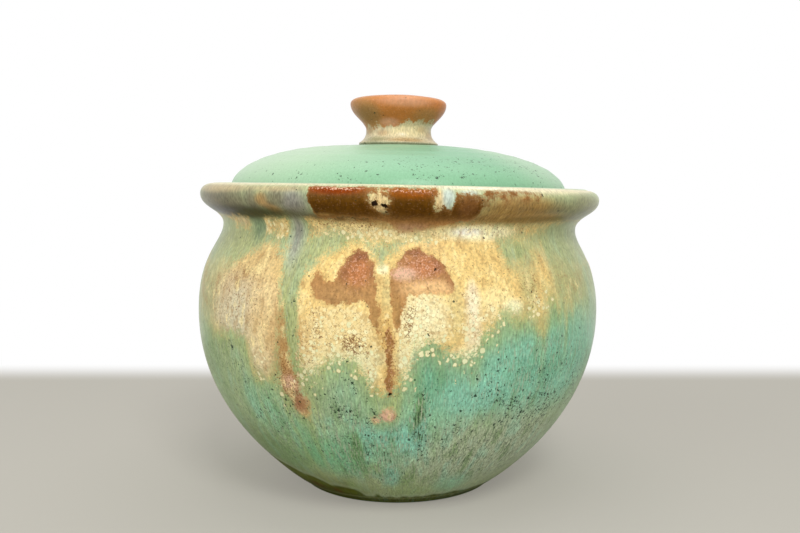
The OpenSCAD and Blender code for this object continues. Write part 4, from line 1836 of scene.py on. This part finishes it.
@dataclass
class Knob:
    """The flared knob: its section in millimetres, with a rust head over a cream neck."""

    hand: Hand
    neck_r: float = 14.1
    neck_h: float = 7.0
    neck_full_high: float = 0.35
    neck_full_low: float = 0.6
    foot_r: float = 17.0
    flare_h: float = 1.6
    flare_in: float = 0.45
    flare_up: float = 0.25
    edge_h: float = 3.2
    edge_out: float = 0.6
    edge_up: float = 0.7
    head_full: float = 0.45
    top_r: float = 13.0
    crown: float = 0.5
    uneven: float = 0.1
    inset: float = 0.15
    rust_thick: float = 0.15
    columns: int = 176

    rust = Band(
        foot=Edge((
            (-180, 9.5), (-150, 11), (-120, 9), (-90, 8.6), (-72, 7.4), (-60, 8.2), (-46, 7.4),
            (-36, 8.4), (-24, 7.4), (-12, 8.2), (0, 7.8), (8, 9.4), (16, 10.4), (24, 9.8), (34, 10.6),
            (46, 9.8), (62, 10.6), (80, 9), (110, 11), (150, 9),
        )),
        head=Edge(((-180, 99), (0, 99))),
    )
    ground_strokes = (
        Stroke(20, 6, 40, 2.4, 0.4, Tint.CREAM),
        Stroke(-62, 6.6, 16, 1.8, 0.7, Tint.TAN),
        Stroke(-28, 5.4, 12, 1.3, 0.65, Tint.TAN),
        Stroke(-40, 2.6, 24, 1.2, 0.7, Tint.OLIVE_GREY),
        Stroke(12, 2.4, 26, 1.0, 0.65, Tint.TAN),
        Stroke(44, 6.8, 10, 1.4, 0.4, Tint.TAN),
        Stroke(66, 4.6, 14, 2.0, 0.5, Tint.TAN),
        # Painted contact shadow along the knob's foot
        Stroke(0, 0.4, 400, 1.0, 0.6, Tint.POOL_AND_SHADE),
    )
    rust_strokes = (
        # A paler line along the head's top edge: painted highlight
        Stroke(0, 20.5, 400, 2.2, 0.12, Tint.BEIGE),
        # These three strokes darken the head's left side: painted shade
        Stroke(-56, 13, 30, 8, 0.85, Tint.BROWN),
        Stroke(-40, 12, 16, 6, 0.5, Tint.TAN),
        Stroke(-46, 12.4, 20, 4.2, 0.4, Tint.COCOA),
        # Painted highlight on top of the head, in blush
        Stroke(10, 17.6, 34, 2.2, 0.4, Tint.BLUSH),
        Stroke(-14, 9.4, 16, 1.8, 0.6, Tint.BLUSH),
        Stroke(40, 12.5, 22, 3, 0.6, Tint.BROWN),
    )

    def __post_init__(self) -> None:
        """Takes the knob's place and widest radius from the frame."""
        low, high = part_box("knob")
        self.radius = high.x / MM
        self.low_z = low.z / MM
        self.height = (high.z - low.z) / MM

    def section(self) -> np.ndarray:
        """The knob's section from the middle of its top, round its edge and down the neck to its foot.

        Returns:
            Points as radius and height, one a row.
        """
        wide = (self.radius, self.height - self.edge_h)
        edge = (self.top_r, self.height - self.crown)
        neck = (self.neck_r, self.neck_h)
        flare = (self.foot_r, self.flare_h)
        rise, run = edge[1] - wide[1], wide[0] - edge[0]
        head, low = wide[1] - neck[1], neck[1] - flare[1]
        spread = neck[0] - flare[0]
        stretches = [
            (line((0, self.height), edge), 8),
            (bezier(edge, (edge[0] + self.edge_out * run, edge[1]),
                    (wide[0], wide[1] + self.edge_up * rise), wide), 13),
            (bezier(wide, (wide[0], wide[1] - self.head_full * head),
                    (neck[0], neck[1] + self.neck_full_high * head), neck), 24),
            (bezier(neck, (neck[0], neck[1] - self.neck_full_low * low),
                    (flare[0] + self.flare_in * spread, flare[1] + self.flare_up * low), flare), 13),
            (arc((self.foot_r - self.flare_h, self.flare_h), self.flare_h, self.flare_h, 0, -90), 6),
            (line((self.foot_r - self.flare_h, 0), (0, 0)), 5),
        ]
        return joined(stretches, (0, 0)) + np.array([0.0, self.low_z])

    def build(self) -> bpy.types.Object:
        """Builds the shell and dresses it.

        Returns:
            The piece.
        """
        shell = TurnedShell("knob_shell", self.section(), self.columns)
        height = shell.section[:, 1:] - self.low_z
        wall = Wall(shell.around, height, math.radians(self.radius))
        flat = wall.flat
        hidden = FAR_OFF + flat
        rust = wall.coated(self.rust)
        uneven = self.uneven * ripple(shell.around, shell.travel, waves=8, reach=30.0, seed=23) - self.inset
        raised = smoothstep(1.0, 3.0, height) * (uneven + self.rust_thick * smoothstep(-1.0, 1.0, rust))
        made = shell.mesh(self.hand.settled(shell.surface(raised)))
        GlazeFields(
            pattern_at=shell.surface(flat),
            ground=wall.painted(Tint.LINEN, self.ground_strokes),
            flow=wall.painted(Tint.CREAM, ()),
            rust=wall.painted(Tint.HEAD_RUST, self.rust_strokes),
            coats=np.stack([hidden, rust, hidden], axis=-1),
            marks=np.stack([hidden, 0.06 + flat, flat], axis=-1),
            grains=np.stack([flat, 0.2 + flat, 0.5 + flat], axis=-1),
            edges=np.stack([hidden, flat, flat], axis=-1),
        ).put(shell, made)
        finish = RunnyGlaze("knob_glaze", gloss=0.34, reflection=0.4, grit=0.35)
        return stand(made, Body.LID, Slot.KNOB, "knob", finish)


@dataclass(frozen=True)
class Lamp:
    """A square soft box that faces the jar: its place and its side in metres, and its power in watts."""

    name: str
    place: tuple[float, float, float]
    side: float
    watts: float

    def build(self, target: tuple[float, float, float]) -> None:
        """Hangs the lamp and turns it to its target.

        Args:
            target: the point that it faces, in metres.
        """
        data = bpy.data.lights.new(self.name, "AREA")
        data.size = self.side
        data.energy = self.watts
        lamp = bpy.data.objects.new(self.name, data)
        aim = (Vector(target) - Vector(self.place)).to_track_quat("-Z", "Y")
        lamp.matrix_world = Matrix.Translation(self.place) @ aim.to_matrix().to_4x4()
        bpy.context.scene.collection.objects.link(lamp)


@dataclass
class Studio:
    """The floor, the soft light and the camera, in metres."""

    lens: float = 38.0
    eye: tuple[float, float, float] = (0.0008, -0.3662, 0.1220)
    dip: float = 4.93
    floor_r: float = 4.0
    floor_rings: int = 39
    floor_columns: int = 96
    floor_grey: tuple[float, float, float, float] = (0.48, 0.46, 0.41, 1.0)
    floor_tone: tuple[float, float, float, float] = (0.53, 0.51, 0.45, 1.0)
    floor_glow: float = 0.45
    ambient: float = 0.5
    lit_point: tuple[float, float, float] = (0.0, 0.0, 0.08)

    lamps = (
        Lamp("key", (0.25, -0.9, 1.0), 0.4, 8.6),
        Lamp("fill_left", (-0.6, -0.95, 0.24), 0.6, 1.9),
        Lamp("fill_right", (0.7, -0.9, 0.24), 0.6, 1.9),
        Lamp("top", (0.1, 0.15, 1.2), 0.9, 3.9),
        Lamp("side", (-0.9, -0.5, 0.6), 0.8, 3.5),
    )

    def build(self) -> None:
        """Builds all of it and sets the view's colours."""
        self.floor()
        self.world()
        for lamp in self.lamps:
            lamp.build(self.lit_point)
        self.camera()
        bpy.context.scene.view_settings.view_transform = "Standard"

    def floor(self) -> None:
        """A pale disc of rings about the origin, which whitens with distance to meet the background."""
        radius = self.floor_r * np.linspace(0.0, 1.0, self.floor_rings + 1)[1:, None] ** 2
        angle = np.linspace(0.0, 2 * math.pi, self.floor_columns, endpoint=False)[None, :]
        rings = np.stack([radius * np.cos(angle), radius * np.sin(angle), 0.0 * radius * angle], axis=-1)
        points = np.concatenate([np.zeros((1, 3)), rings.reshape(-1, 3)])
        quads, fan = ring_faces(self.floor_rings, self.floor_columns)
        made = bpy.data.meshes.new("floor")
        made.from_pydata(points.tolist(), [], quads.reshape(-1, 4).tolist() + fan.tolist())
        made.materials.append(self.floor_material())
        floor = bpy.data.objects.new("floor", made)
        bpy.context.scene.collection.objects.link(floor)

    def floor_material(self) -> bpy.types.Material:
        """Matt pale grey near the jar, which also glows its own tone to the camera as painted light that
        thins the jar's shadow on it, and plain white far off where the camera or a reflection looks.

        Returns:
            The material.
        """
        g = Graph(bpy.data.materials.new("floor"))
        where = g.node("ShaderNodeTexCoord").outputs["Object"]
        away = g.node("ShaderNodeVectorMath", {0: where}, operation="LENGTH").outputs["Value"]
        far = g.math("MAXIMUM", g.smooth(g.split(where)[1], 0.175, 0.235), g.smooth(away, 0.6, 1.6))
        camera = g.node("ShaderNodeLightPath").outputs["Is Camera Ray"]
        # Near the jar the camera sees part of the floor glow its own tone: painted light that thins the
        # jar's shadow
        near = g.node("ShaderNodeMixShader", {
            0: g.times(camera, self.floor_glow),
            1: g.node("ShaderNodeBsdfDiffuse", {"Color": self.floor_grey}).outputs[0],
            2: g.node("ShaderNodeEmission", {"Color": self.floor_tone}).outputs[0],
        })
        whole = g.node("ShaderNodeMixShader", {
            0: g.times(far, self.seen(g)),
            1: near.outputs[0],
            2: g.node("ShaderNodeEmission").outputs[0],
        })
        g.node("ShaderNodeOutputMaterial", {"Surface": whole.outputs[0]})
        return g.owner

    def seen(self, g: Graph) -> Socket:
        """Finds the rays that look at the background.

        Args:
            g: the nodes to add to.

        Returns:
            1 for a ray from the camera, a reflection or a clear surface.
        """
        path = g.node("ShaderNodeLightPath").outputs
        direct = g.math("MAXIMUM", path["Is Camera Ray"], path["Is Glossy Ray"])
        return g.math("MAXIMUM", direct, path["Is Transmission Ray"])

    def world(self) -> None:
        """An even sky for light, seen as white by the camera and in reflections."""
        g = Graph(bpy.data.worlds.new("sky"))
        strength = g.blend(self.seen(g), self.ambient, 1.0)
        sky = g.node("ShaderNodeBackground", {"Color": (1.0, 1.0, 1.0, 1.0), "Strength": strength})
        g.node("ShaderNodeOutputWorld", {"Surface": sky.outputs[0]})
        bpy.context.scene.world = g.owner

    def camera(self) -> None:
        """The camera at about the height of the rim, looking a little down."""
        data = bpy.data.cameras.new("camera")
        data.lens = self.lens
        data.clip_start = 0.01
        camera = bpy.data.objects.new("camera", data)
        camera.location = self.eye
        camera.rotation_euler = (math.radians(90.0 - self.dip), 0.0, 0.0)
        bpy.context.scene.collection.objects.link(camera)
        bpy.context.scene.camera = camera


def main() -> None:
    """Builds the studio and the three shells."""
    logging.basicConfig(level=logging.INFO, format="%(name)s: %(message)s")
    Studio().build()
    for piece in (Jar(Hand(lean=1.1, shift=-0.3)), Lid(Hand(lean=0.1)), Knob(Hand(lean=0.1))):
        piece.build()


if __name__ == "__main__":
    main()
